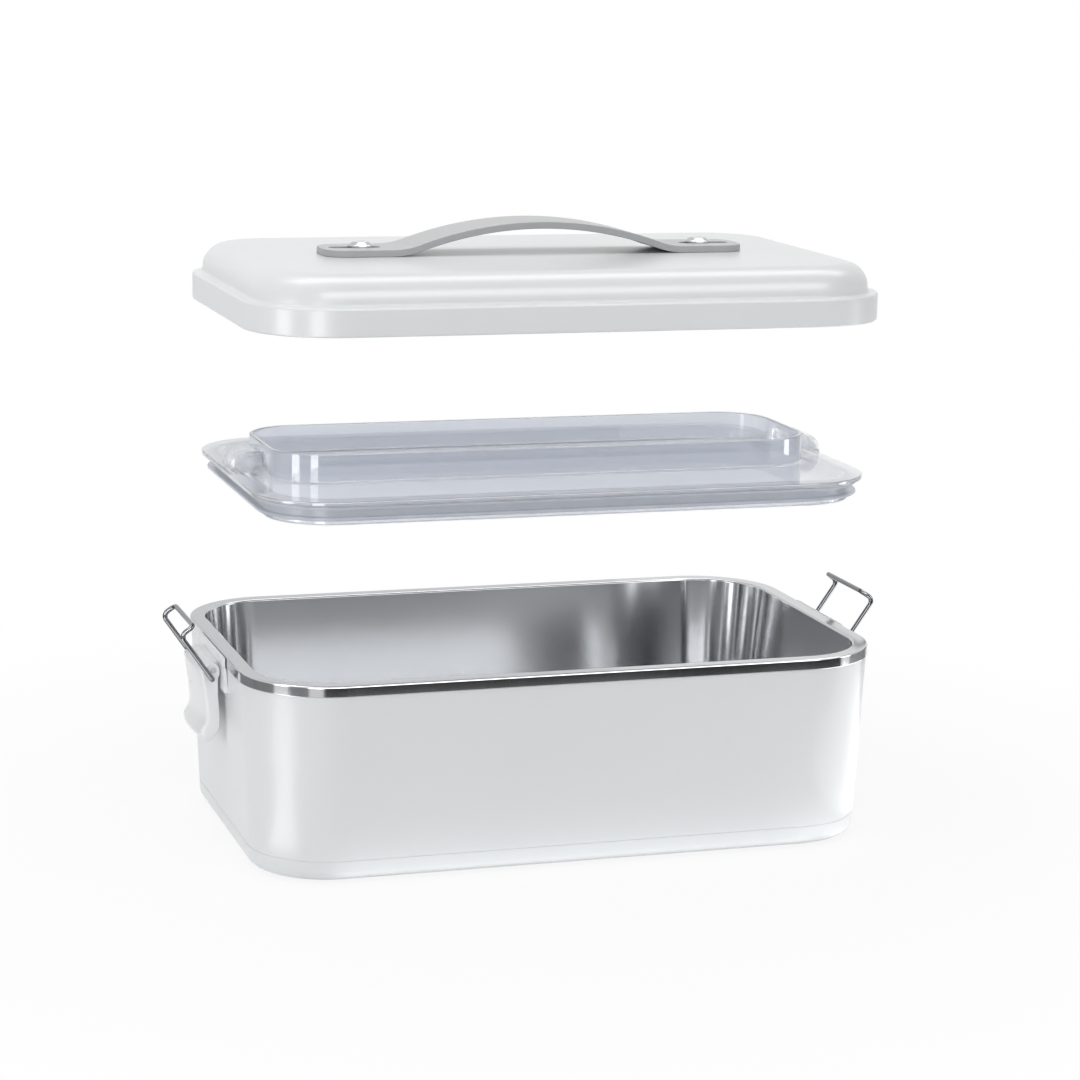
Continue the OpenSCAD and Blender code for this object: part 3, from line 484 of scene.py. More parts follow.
def round_the_box(mesh, reach, steps):
    """Carries the line in the mesh round the rounded rectangle with corner centres at +-reach."""
    x, y = reach
    edges = list(mesh.edges)
    moved(mesh, (x, -y, 0))
    for (cx, cy), way in (
        ((x, y), (0, 2 * y, 0)), ((-x, y), (-2 * x, 0, 0)),
        ((-x, -y), (0, -2 * y, 0)), ((x, -y), (2 * x, 0, 0)),
    ):
        edges = drawn(mesh, edges, way)
        edges = turned(mesh, edges, (cx, cy, 0), steps)
    bmesh.ops.remove_doubles(mesh, verts=mesh.verts, dist=4e-6)


def close_ends(mesh):
    """Fills every open rim with one face."""
    bmesh.ops.holes_fill(mesh, edges=[e for e in mesh.edges if e.is_boundary], sides=0)


def swept(points, body, closed=True, segments=6, reach=None):
    """A ring, or a shell with closed ends, from a section carried round the rounded rectangle."""
    mesh = bmesh.new()
    line(mesh, points, closed, segments)
    round_the_box(mesh, reach or corner_reach(body), body.turn_steps)
    if not closed:
        close_ends(mesh)
    return outward(mesh)


def lathe(points, centre, steps=32, axis=UPWARDS):
    """A turned solid from a line of (radius, height[, rounding]) points, in millimetres."""
    mesh = bmesh.new()
    line(mesh, points, False, 4)
    bmesh.ops.spin(
        mesh, geom=list(mesh.verts) + list(mesh.edges), cent=(0, 0, 0), axis=UPWARDS,
        angle=2 * math.pi, steps=steps, use_merge=True, use_duplicate=False,
    )
    bmesh.ops.remove_doubles(mesh, verts=mesh.verts, dist=1e-6)
    close_ends(mesh)
    outward(mesh)
    if axis != UPWARDS:
        turn = Vector(UPWARDS).rotation_difference(Vector(axis)).to_matrix()
        bmesh.ops.rotate(mesh, verts=mesh.verts, cent=(0, 0, 0), matrix=turn)
    return moved(mesh, centre)


def rod(radius, low, high, centre=(0, 0, 0), steps=32, axis=ACROSS):
    """A plain round rod between two heights on its axis, in millimetres."""
    return lathe([(0, low), (radius, low), (radius, high), (0, high)], centre, steps, axis)


def slab(points, depth, segments=6):
    """A solid from a closed outline in millimetres in the X-Z plane, depth metres wide across Y."""
    mesh = bmesh.new()
    line(mesh, points, True, segments)
    bmesh.ops.contextual_create(mesh, geom=list(mesh.edges))
    made = bmesh.ops.extrude_face_region(mesh, geom=list(mesh.faces))["geom"]
    moved(mesh, (0, depth, 0), only(bmesh.types.BMVert, made))
    return outward(moved(mesh, (0, -depth / 2, 0)))


def is_sharp(edge, over):
    """Whether the faces at an edge meet at more than an angle in degrees."""
    return len(edge.link_faces) == 2 and edge.calc_face_angle() > math.radians(over)


def soften(mesh, radius, segments=3, over=60.0, keep=lambda edge: True):
    """Rounds the edges that are sharper than an angle in degrees."""
    rounded(mesh, [e for e in mesh.edges if is_sharp(e, over) and keep(e)], radius, segments)


def flipped(mesh, side):
    """Moves a mesh that is drawn at the right end to the end that side names, -1 or 1."""
    if side < 0:
        bmesh.ops.scale(mesh, verts=mesh.verts, vec=(-1, 1, 1))
        bmesh.ops.reverse_faces(mesh, faces=mesh.faces)
    return mesh


def gathered(*meshes):
    """Puts several meshes into the first one."""
    whole = meshes[0]
    for other in meshes[1:]:
        spare = bpy.data.meshes.new("spare")
        other.to_mesh(spare)
        whole.from_mesh(spare)
        bpy.data.meshes.remove(spare)
        other.free()
    return whole


def placed(mesh, name, *materials):
    """Makes an object of a mesh, and uses the mesh up."""
    data = bpy.data.meshes.new(name)
    mesh.to_mesh(data)
    mesh.free()
    for material in materials:
        data.materials.append(material)
    thing = bpy.data.objects.new(name, data)
    bpy.context.scene.collection.objects.link(thing)
    return thing


def shaped(base, operation, *tools):
    """The mesh that Booleans of a base with each tool in turn leave. All are used up."""
    for tool in tools:
        objects = [placed(mesh, "shaping") for mesh in (base, tool)]
        change = objects[0].modifiers.new("Shape", "BOOLEAN")
        change.operation = operation
        change.solver = "EXACT"
        change.use_self = True
        change.object = objects[1]
        base = bmesh.new()
        base.from_object(objects[0], bpy.context.evaluated_depsgraph_get())
        for obj in objects:
            data = obj.data
            bpy.data.objects.remove(obj)
            bpy.data.meshes.remove(data)
        bmesh.ops.remove_doubles(base, verts=base.verts, dist=1e-7)
    return base


def finished(mesh, name, body, material, slot, *nodes, crease=32.0):
    """Turns a mesh into a piece of the object: smooth but for its creases, dressed and riding."""
    outward(mesh)
    for face in mesh.faces:
        face.smooth = True
    for edge in mesh.edges:
        edge.smooth = not is_sharp(edge, crease)
    piece = placed(mesh, name, material)
    normals = piece.modifiers.new("Even shading", "WEIGHTED_NORMAL")
    normals.keep_sharp = True
    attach(piece, body)
    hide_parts(*nodes)


def dress(material, *nodes):
    """Gives CAD nodes a finish."""
    for name in nodes:
        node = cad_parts[name]
        node.data.materials.clear()
        node.data.materials.append(material)


# ---- Measures that several pieces share ----

def corner_reach(props):
    """How far the corner centres are from the middle of the box, in metres."""
    return RIM[1].x - props.corner, RIM[1].y - props.corner


def heights(box):
    """Where a box starts and ends on Z, in millimetres."""
    return mm(box[0].z), mm(box[1].z)


def radius_to(x, props):
    """Radius about the corner centres that reaches a place on X, in millimetres."""
    return mm(x - corner_reach(props)[0])


def wall_at(height, props):
    """Radius of the housing's wall about the corner centres at a height, both in millimetres."""
    top = mm(HOUSING[1].z)
    low = mm(COVER[0].z)
    return radius_to(HOUSING[1].x, props) - mm(props.lean) * (top - height) / (top - low)


# ---- Operators ----

class PieceMaker:
    """What the operators share: undo, and a plain result."""

    bl_options = {"REGISTER", "UNDO"}

    def execute(self, context):
        self.make(context.scene.lunch_box_body, context.scene)
        return {"FINISHED"}


class LUNCHBOX_OT_housing(PieceMaker, bpy.types.Operator):
    """Moulds the housing's wall and the base cover, with the inlet and the power light"""

    bl_idname = "lunchbox.housing"
    bl_label = "Housing and base"

    def make(self, body, scene):
        white = moulded_plastic("white_shell_plastic", body.shell)
        seam, top = heights(HOUSING)
        wall = mm(body.wall)
        rebate = 0.2
        at_seam = wall_at(seam, body)
        shell = swept([
            (at_seam - rebate, seam),
            (at_seam - rebate, seam + rebate),
            (wall_at(seam + rebate, body), seam + rebate, 0.1),
            (wall_at(top, body), top, 0.35),
            (wall_at(top, body) - wall, top),
            (at_seam - wall, seam),
        ], body, segments=3)
        shell = shaped(shell, "DIFFERENCE", self.socket_hole(), self.lens_hole())
        finished(shell, "housing_wall", "housing", white, "white_shell", "outer_housing")

        centre = 12
        foot, lip_top = heights(COVER)
        floor = foot + 2.4
        lip = at_seam - wall - GAP
        lip_wall = 1.4
        pan = swept([
            (centre, foot),
            (wall_at(foot, body), foot, 4.0),
            (at_seam, seam, 0.12),
            (lip, seam),
            (lip, lip_top, 0.3),
            (lip - lip_wall, lip_top, 0.3),
            (lip - lip_wall, floor, 1.5),
            (centre, floor),
        ], body, closed=False)
        pan = shaped(pan, "DIFFERENCE", self.socket_hole(), self.base_recesses())
        finished(pan, "base_pan", "housing", white, "white_shell", "base_cover")

    def socket_hole(self):
        """A rounded block the size of the inlet, through the back wall."""
        corner = 2.4
        deep = 0.016
        inward = 0.004
        half_x = mm(INLET[1].x) + GAP
        mid_z = mm((INLET[0].z + INLET[1].z) / 2)
        half_z = mm(INLET[1].z) - mid_z + GAP
        block = slab(oblong(-half_x, mid_z - half_z, half_x, mid_z + half_z, corner), deep)
        return moved(block, (0, INLET[1].y - inward, 0))

    def lens_hole(self):
        """A rod through the wall, where the power light's lens sits."""
        return rod(mm(LENS[1].x - LENS[0].x) / 2 + GAP, -8, 8, (LENS[0] + LENS[1]) / 2, 40)

    def base_recesses(self):
        """Round sinks for the feet and the screw heads, in the underside."""
        sinks = []
        for node, radius, spare, depth in (
            ("rubber_feet", 5.5, GAP, None), ("base_screws", 2.8, 0.3, 1.1)
        ):
            low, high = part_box(node)
            mid = high.x - radius * MM, high.y - radius * MM
            deep = mm(high.z if depth is None else low.z + depth * MM)
            for sx in (-1, 1):
                for sy in (-1, 1):
                    centre = (sx * mid[0], sy * mid[1], 0)
                    sinks.append(rod(radius + spare, -1, deep, centre, 40, UPWARDS))
        return gathered(*sinks)


class LUNCHBOX_OT_container(PieceMaker, bpy.types.Operator):
    """Presses the steel container with its polished rim"""

    bl_idname = "lunchbox.container"
    bl_label = "Steel container"

    def make(self, body, scene):
        steel = polished_steel("polished_steel", body.steel)
        under, top = heights(RIM)
        band = mm(HOUSING[1].z)
        sheet = mm(body.sheet)
        rim = mm(body.corner)
        mouth = mm(body.opening)
        lean = 5.0
        edge = 8.0
        low = mouth + sheet - lean
        centre = 6
        pan = swept([
            (centre, under + sheet),
            (low - sheet, under + sheet, edge - sheet),
            (mouth, top, 0.9),
            (rim, top, 0.75),
            (rim, band, 0.3),
            (rim - sheet, band, 0.2),
            (rim - sheet, top - sheet, 0.4),
            (mouth + sheet, top - sheet, 0.3),
            (low, under, edge),
            (centre, under),
        ], body, closed=False)
        finished(pan, "food_container", "container", steel, "stainless_steel", "steel_container")


class LUNCHBOX_OT_outer_lid(PieceMaker, bpy.types.Operator):
    """Moulds the domed outer lid"""

    bl_idname = "lunchbox.outer_lid"
    bl_label = "Outer lid"

    def make(self, body, scene):
        lids = scene.lunch_box_lids
        white = bpy.data.materials["white_shell_plastic"]
        low, top = heights(LID)
        wall = mm(lids.lid_wall)
        edge = radius_to(LID[1].x, body)
        ledge_z = low + mm(lids.flange)
        dome = edge - mm(lids.ledge)
        roll = mm(lids.dome_round)
        centre = 6
        shell = swept([
            (centre, top),
            (dome, top, roll),
            (dome, ledge_z, 1.0),
            (edge, ledge_z, 0.8),
            (edge, low, 0.8),
            (edge - wall, low, 0.3),
            (edge - wall, ledge_z - wall, 0.8),
            (dome - wall, ledge_z - wall, 0.3),
            (dome - wall, top - wall, roll - wall),
            (centre, top - wall),
        ], body, closed=False, segments=8)
        finished(shell, "dome_lid", "outer_lid", white, "white_shell", "outer_lid_shell")


class LUNCHBOX_OT_clear_lid(PieceMaker, bpy.types.Operator):
    """Moulds the clear tray lid with its end lugs, and the gasket on its plug"""

    bl_idname = "lunchbox.clear_lid"
    bl_label = "Clear tray lid"

    def make(self, body, scene):
        deep = 7.2
        under = mm(CLEAR[0].z) + deep
        foot = under - deep
        plate = under + 1.8
        edge = radius_to(CLEAR[1].x, body)
        plug = edge - 6.1
        toe = plug + 1.1
        toe_z = foot + 1.5
        inside = plug - 1.6
        centre = 6
        lid = swept([
            (centre, plate), (edge, plate, 0.5), (edge, under, 0.5), (plug, under, 0.4),
            (plug, toe_z, 0.2), (toe, toe_z, 0.35), (toe, foot, 0.45), (inside, foot, 0.45),
            (inside, under, 0.8), (centre, under),
        ], body, closed=False, segments=4)
        lid = shaped(lid, "UNION", *self.tray(plate, body))
        clear = clear_moulding("clear_cool_plastic", scene.lunch_box_lids.clear)
        finished(lid, "tray_lid", "inner_lid", clear, "clear_plastic", "clear_inner_lid")
        self.seal(plug, body)

    def tray(self, plate, body):
        """The tray's wall and its two lugs, which stand on the plate."""
        inset = 0.0167, 0.0401
        half_x, half_y = RIM[1].x - inset[0], RIM[1].y - inset[1]
        turn = 18.8
        wall = 1.6
        flare = 0.9
        top = mm(CLEAR[1].z)
        root = plate - 0.06
        ring = swept([
            (turn - wall - flare, root), (turn - wall, root, 0.7), (turn - wall, top, 0.45),
            (turn, top, 0.45), (turn, root, 0.7), (turn + flare, root), (turn, plate - flare),
            (turn - wall, plate - flare),
        ], body, segments=4, reach=(half_x - turn * MM, half_y - turn * MM))
        lug = self.lug(mm(half_x) - wall / 2, mm(RIM[1].x) - 5, plate)
        return ring, lug.copy(), flipped(lug, -1)

    def lug(self, near, far, plate):
        """A hollow lug between the tray's end wall and the flange, open through a slot."""
        high = 7.8
        width = 0.017
        wall = 1.2
        end_wall = 1.6
        roll = 6.8
        outside = slab([
            (near, plate - 0.6), (far, plate - 0.6), (far, plate + high, roll),
            (near, plate + high),
        ], width, 10)
        soften(outside, 0.0009, 3, 40.0, lambda edge: edge.verts[0].co.z > plate * MM)
        inside = slab([
            (near + end_wall, plate - 0.05), (far - wall, plate - 0.05),
            (far - wall, plate + high - wall, roll - wall), (near + end_wall, plate + high - wall),
        ], width - 2 * wall * MM, 10)
        slot = slab([
            (far - 2.4, plate + 0.8), (far + 1, plate + 0.8), (far + 1, plate + 4.7, 0.2),
            (far - 2.4, plate + 4.7),
        ], 0.003)
        return shaped(outside, "DIFFERENCE", inside, slot)

    def seal(self, plug, body):
        """The gasket round the plug, with one fin near its top and one near its foot."""
        low, high = heights(SEAL)
        tip = radius_to(SEAL[1].x, body)
        bore = plug + GAP
        root = plug + 1.42
        fin = 1.1
        gap = 0.45
        half = [
            (bore, 0), (root, 0), (root, gap, 0.1), (tip, gap, 0.4), (tip, gap + fin, 0.4),
            (root, gap + fin, 0.25),
        ]
        seal = swept([
            *((across, low + up, *turn) for across, up, *turn in half),
            *((across, high - up, *turn) for across, up, *turn in reversed(half)),
        ], body, segments=3)
        rubber = clear_rubber("clear_silicone_rubber", (0.68, 0.71, 0.77))
        finished(seal, "finned_seal", "inner_lid", rubber, "clear_silicone", "inner_lid_gasket")


class LUNCHBOX_OT_strap(PieceMaker, bpy.types.Operator):
    """Cuts, rounds and bends the carrying strap, and turns its rivets"""

    bl_idname = "lunchbox.strap"
    bl_label = "Strap handle"

    def make(self, body, scene):
        lids = scene.lunch_box_lids
        thick = 0.0025
        rise = STRAP[1].z - STRAP[0].z - thick
        span = 0.055
        foot = 0.030
        lift = 2 * math.atan(rise / span)
        arch = span / math.sin(lift) - foot
        bent = (arch + foot) * lift
        end = bent + STRAP[1].x - span
        middle = STRAP[0].z + thick / 2
        cuts = 40
        blank = self.blank(end, bent, thick, lids.strap_round)

        # Cut across wherever it bends, then laid over the arch
        for side in (-1, 1):
            for step in range(cuts + 1):
                bmesh.ops.bisect_plane(
                    blank, geom=list(blank.verts) + list(blank.edges) + list(blank.faces),
                    dist=1e-7, plane_co=(side * bent * step / cuts, 0, 0), plane_no=(1, 0, 0),
                )
        for vert in blank.verts:
            along = abs(vert.co.x)
            over = vert.co.z
            if along <= arch * lift:
                angle = along / arch
                at = (arch + over) * math.sin(angle)
                up = rise - arch + (arch + over) * math.cos(angle)
            elif along <= bent:
                angle = (bent - along) / foot
                at = span - (foot - over) * math.sin(angle)
                up = foot - (foot - over) * math.cos(angle)
            else:
                at = span + along - bent
                up = over
            vert.co = (math.copysign(at, vert.co.x), vert.co.y, middle + up)
        # side=0.74 paints shade on the strap's upright faces and underside
        grey = elastomer("strap_elastomer", lids.strap, side=0.74)
        finished(blank, "strap", "outer_lid", grey, "strap_grey", "strap_handle", crease=50.0)
        self.rivets(mm(STRAP[0].z + thick) + GAP, scene.lunch_box_latches.chrome)

    def blank(self, end, bent, thick, rounding):
        """The strap before it is bent: a strip with round corners and a slot near each end."""
        corner = 8.0
        half_x = mm(end)
        half_y = mm(STRAP[1].y)
        strip = slab(oblong(-half_x, -half_y, half_x, half_y, corner), thick, 10)
        start = mm(bent) + 2.0
        long = 19.0
        half = 3.0
        for side in (-1, 1):
            near, far = sorted((side * start, side * (start + long)))
            slot = slab(oblong(near, -half, far, half, half - 0.01), thick * 2, 8)
            strip = shaped(strip, "DIFFERENCE", slot)
        lay = Matrix.Rotation(math.radians(-90), 3, "X")
        bmesh.ops.rotate(strip, verts=strip.verts, cent=(0, 0, 0), matrix=lay)
        bmesh.ops.dissolve_limit(
            strip, angle_limit=math.radians(0.5), verts=strip.verts, edges=strip.edges
        )
        soften(strip, rounding)
        return strip

    def rivets(self, seat, tone):
        """Two domed rivets, each with its clenched end under the lid."""
        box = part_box("handle_rivets")
        foot, top = heights(box)
        head = 4.7
        shank = 1.99
        clench = 2.99
        pair = gathered(*(
            lathe([
                (0, top - 0.12), (1.4, top - 0.12, 2), (2.9, top, 1.2), (head, seat + 0.75, 0.5),
                (head, seat, 0.1), (shank, seat), (shank, foot + 1.6), (clench, foot + 1.6, 0.2),
                (2.5, foot, 0.6), (0, foot),
            ], (side * (box[1].x - head * MM), 0, 0), 48)
            for side in (-1, 1)
        ))
        chrome = plated_wire("plated_rivets", tone)
        finished(pair, "strap_rivets", "outer_lid", chrome, "chrome_wire", "handle_rivets")
        dress(plain_metal("zinc_washers", (0.6, 0.61, 0.62), 0.35), "rivet_washers")


class LUNCHBOX_OT_latches(PieceMaker, bpy.types.Operator):
    """Moulds the levers and brackets and finishes the bails and pins of both latches"""

    bl_idname = "lunchbox.latches"
    bl_label = "Latches"

    def make(self, body, scene):
        latches = scene.lunch_box_latches
        white = moulded_plastic("white_latch_plastic", latches.plastic, 0.28)
        pin = Vector((PIN[1].x - PIN_R, 0, (PIN[0].z + PIN[1].z) / 2))
        for side, name in ((-1, "left"), (1, "right")):
            finished(
                flipped(self.lever(latches, pin), side), "lever_shell_" + name,
                "latch_lever_" + name, white, "white_latch", "lever_" + name, crease=40.0,
            )
            finished(
                flipped(self.bracket(pin), side), "latch_plate_" + name, "housing", white,
                "white_latch", "latch_bracket_" + name,
            )
        # The dark wire colour paints dark reflections on the bails
        dress(plated_wire("plated_wire", latches.wire), "bail_left", "bail_right")
        dress(plain_metal("pin_steel", (0.62, 0.63, 0.64), 0.3), "lever_pins")

    def lever(self, latches, pin):
        """A channel with a crowned face, lofted down from its top edge round the finger lip."""
        half_w = mm(LEVER[1].y)
        wall = mm(latches.lever_wall)
        crown = 1.7
        depth = 6.6
        roll = 2.2
        arc = 12
        bow = (half_w ** 2 + crown ** 2) / (2 * crown)
        front = []
        for step in range(-arc, arc + 1):
            y = half_w * step / arc
            front.append((math.sqrt(bow ** 2 - y ** 2) - bow + crown, y))
        back = [(x - wall, y * (half_w - wall) / half_w) for x, y in reversed(front)]
        front[0] += (roll,)
        front[-1] += (roll,)
        mesh = bmesh.new()
        line(mesh, [
            (-depth, -half_w, 0.5), *front, (-depth, half_w, 0.5),
            (-depth, half_w - wall, 0.4), *back, (-depth, wall - half_w, 0.4),
        ], True, 5, standing=False)

        # Height under the pin, face, inner edge, and how much of the width is left
        levels = [
            (0.75, 3.4, -1.0, 0.985), (0.45, 4.1, -1.6, 1.0), (-0.2, 4.3, -2.0, 1.0),
            (-4.0, 3.85, -1.75, 1.0), (-9.0, 3.2, -1.75, 1.0), (-13.6, 2.65, -2.1, 1.0),
            (-16.4, 2.38, -2.28, 1.0), (-18.2, 2.48, -2.3, 1.0), (-19.8, 2.95, -2.2, 1.0),
            (-21.2, 3.75, -2.05, 1.0), (-22.4, 4.42, -1.75, 1.0), (-23.3, 4.64, -1.3, 0.998),
            (-24.2, 4.5, -0.8, 0.99), (-25.1, 4.05, -0.2, 0.97), (-26.0, 3.4, 0.3, 0.93),
            (-26.7, 2.65, 0.9, 0.87), (-27.1, 2.0, 1.3, 0.81),
        ]
        edges = list(mesh.edges)
        last = None
        for height, face, inner, share in levels:
            if last:
                edges = drawn(mesh, edges, (0, 0, 0))
            ring = points_on(edges)
            if last:
                moved(mesh, (-last[1] * MM, 0, -last[0] * MM), ring)
                bmesh.ops.scale(mesh, verts=ring, vec=(1 / last[2], 1 / last[3], 1))
            stretch = (face - inner) / depth
            bmesh.ops.scale(mesh, verts=ring, vec=(stretch, share, 1))
            moved(mesh, (face * MM, 0, height * MM), ring)
            last = (height, face, stretch, share)
        close_ends(mesh)
        outward(mesh)

        mesh = shaped(mesh, "UNION", self.lobe(-1, half_w), self.lobe(1, half_w))
        return moved(shaped(mesh, "DIFFERENCE", self.bores(half_w)), pin)

    def lobe(self, side, half_w):
        """One of the lever's two knuckles, round the pin."""
        wide = 3.8
        turn = HUB - 0.02
        lobe = slab([
            (-HUB, -HUB, turn), (-HUB, HUB, turn), (0.6, HUB, 1.2), (3.7, 0.3, 0.2),
            (3.2, -5.4, 0.4), (-1.5, -5.4, 1.2), (-1.75, -HUB - 0.4, 0.6),
        ], wide * MM, 8)
        soften(lobe, 0.0003, 2)
        return moved(lobe, (0, side * (half_w - wide / 2 - 0.01) * MM, 0))

    def bores(self, half_w):
        """The pin's bore, the holes of the bail's feet and the slit, as cutting shapes."""
        deep = half_w + 1
        feet = [
            rod(0.95, -3.5, 3.5, (0.4 * MM, side * half_w * MM, -3.3 * MM)) for side in (-1, 1)
        ]
        slit_wide = 0.0144
        aside = 0.006
        slit = moved(slab(oblong(4.4, -8.35, 5.6, -7.65), slit_wide), (0, aside, 0))
        return gathered(rod(1.15, -deep, deep), *feet, slit)

    def bracket(self, pin):
        """The plate with its cap and the middle knuckle."""
        low = mm(BRACKET[0].z - pin.z)
        high = mm(BRACKET[1].z - pin.z)
        inner = mm(BRACKET[0].x - pin.x)
        wide = BRACKET[1].y * 2
        face = -2.7
        cap = -3.2
        lip = cap + 1.0
        step = 1.7
        wall_step = inner + mm(0.00075)
        plate = slab([
            (inner, low), (face, low, 0.5), (face, 2.3, 0.4), (lip, 2.8, 0.3),
            (lip, high, 0.45), (cap, high), (cap, step), (wall_step, step),
        ], wide, 4)
        for edge_z, radius in ((low, 0.0045), (high, 0.0015)):
            rounded(plate, [
                e for e in plate.edges
                if all(abs(abs(v.co.y) - wide / 2) < 1e-6 and abs(v.co.z - edge_z * MM) < 1e-6
                       for v in e.verts)
            ], radius, 6)
        soften(plate, 0.00025, 2)
        turn = HUB - 0.02
        knuckle_wide = 0.0242
        knuckle = slab([
            (face - 0.4, -HUB), (HUB, -HUB, turn), (HUB, HUB, turn), (face - 0.4, HUB),
        ], knuckle_wide, 8)
        soften(knuckle, 0.0003, 2)
        whole = shaped(plate, "UNION", knuckle)
        return moved(shaped(whole, "DIFFERENCE", rod(1.12, -17, 17)), pin)


class LUNCHBOX_OT_fittings(PieceMaker, bpy.types.Operator):
    """Finishes the feet, the screws, the power inlet and the heater inside the base"""

    bl_idname = "lunchbox.fittings"
    bl_label = "Heater and fittings"

    def make(self, body, scene):
        dress(elastomer("grey_foot_rubber", (0.16, 0.16, 0.165), 0.6, 0.00003), "rubber_feet")
        dress(plain_metal("screw_steel_zinc", (0.55, 0.56, 0.57), 0.32), "base_screws")
        dress(matt_plastic("liner_pale_plastic", (0.66, 0.67, 0.68)), "inner_liner")
        dress(plain_metal("cast_aluminium_plate", (0.68, 0.69, 0.70), 0.38), "heating_plate")
        dress(mineral("mica_heater_board", (0.48, 0.38, 0.20)), "heating_element")
        spring = plain_metal("spring_steel_clamp", (0.5, 0.51, 0.52), 0.35, (1, 6, 1))
        dress(spring, "element_clamp")
        black = matt_plastic("black_inlet_plastic", (0.022, 0.022, 0.024), 0.5)
        dress(black, "power_inlet", "thermostat")
        dress(mineral("fuse_ceramic_body", (0.62, 0.58, 0.48)), "thermal_fuse")
        dress(sleeve("lead_sleeving", (0.10, 0.12, 0.28)), "internal_leads")
        dress(plain_metal("nickel_contacts", (0.68, 0.65, 0.58), 0.2), "inlet_contacts")
        dress(tinted_lens("red_lens", (0.65, 0.05, 0.03), 0.75), "power_light_lens")
        dress(tinted_lens("lamp_resin", (0.75, 0.30, 0.22), 0.85), "power_light")


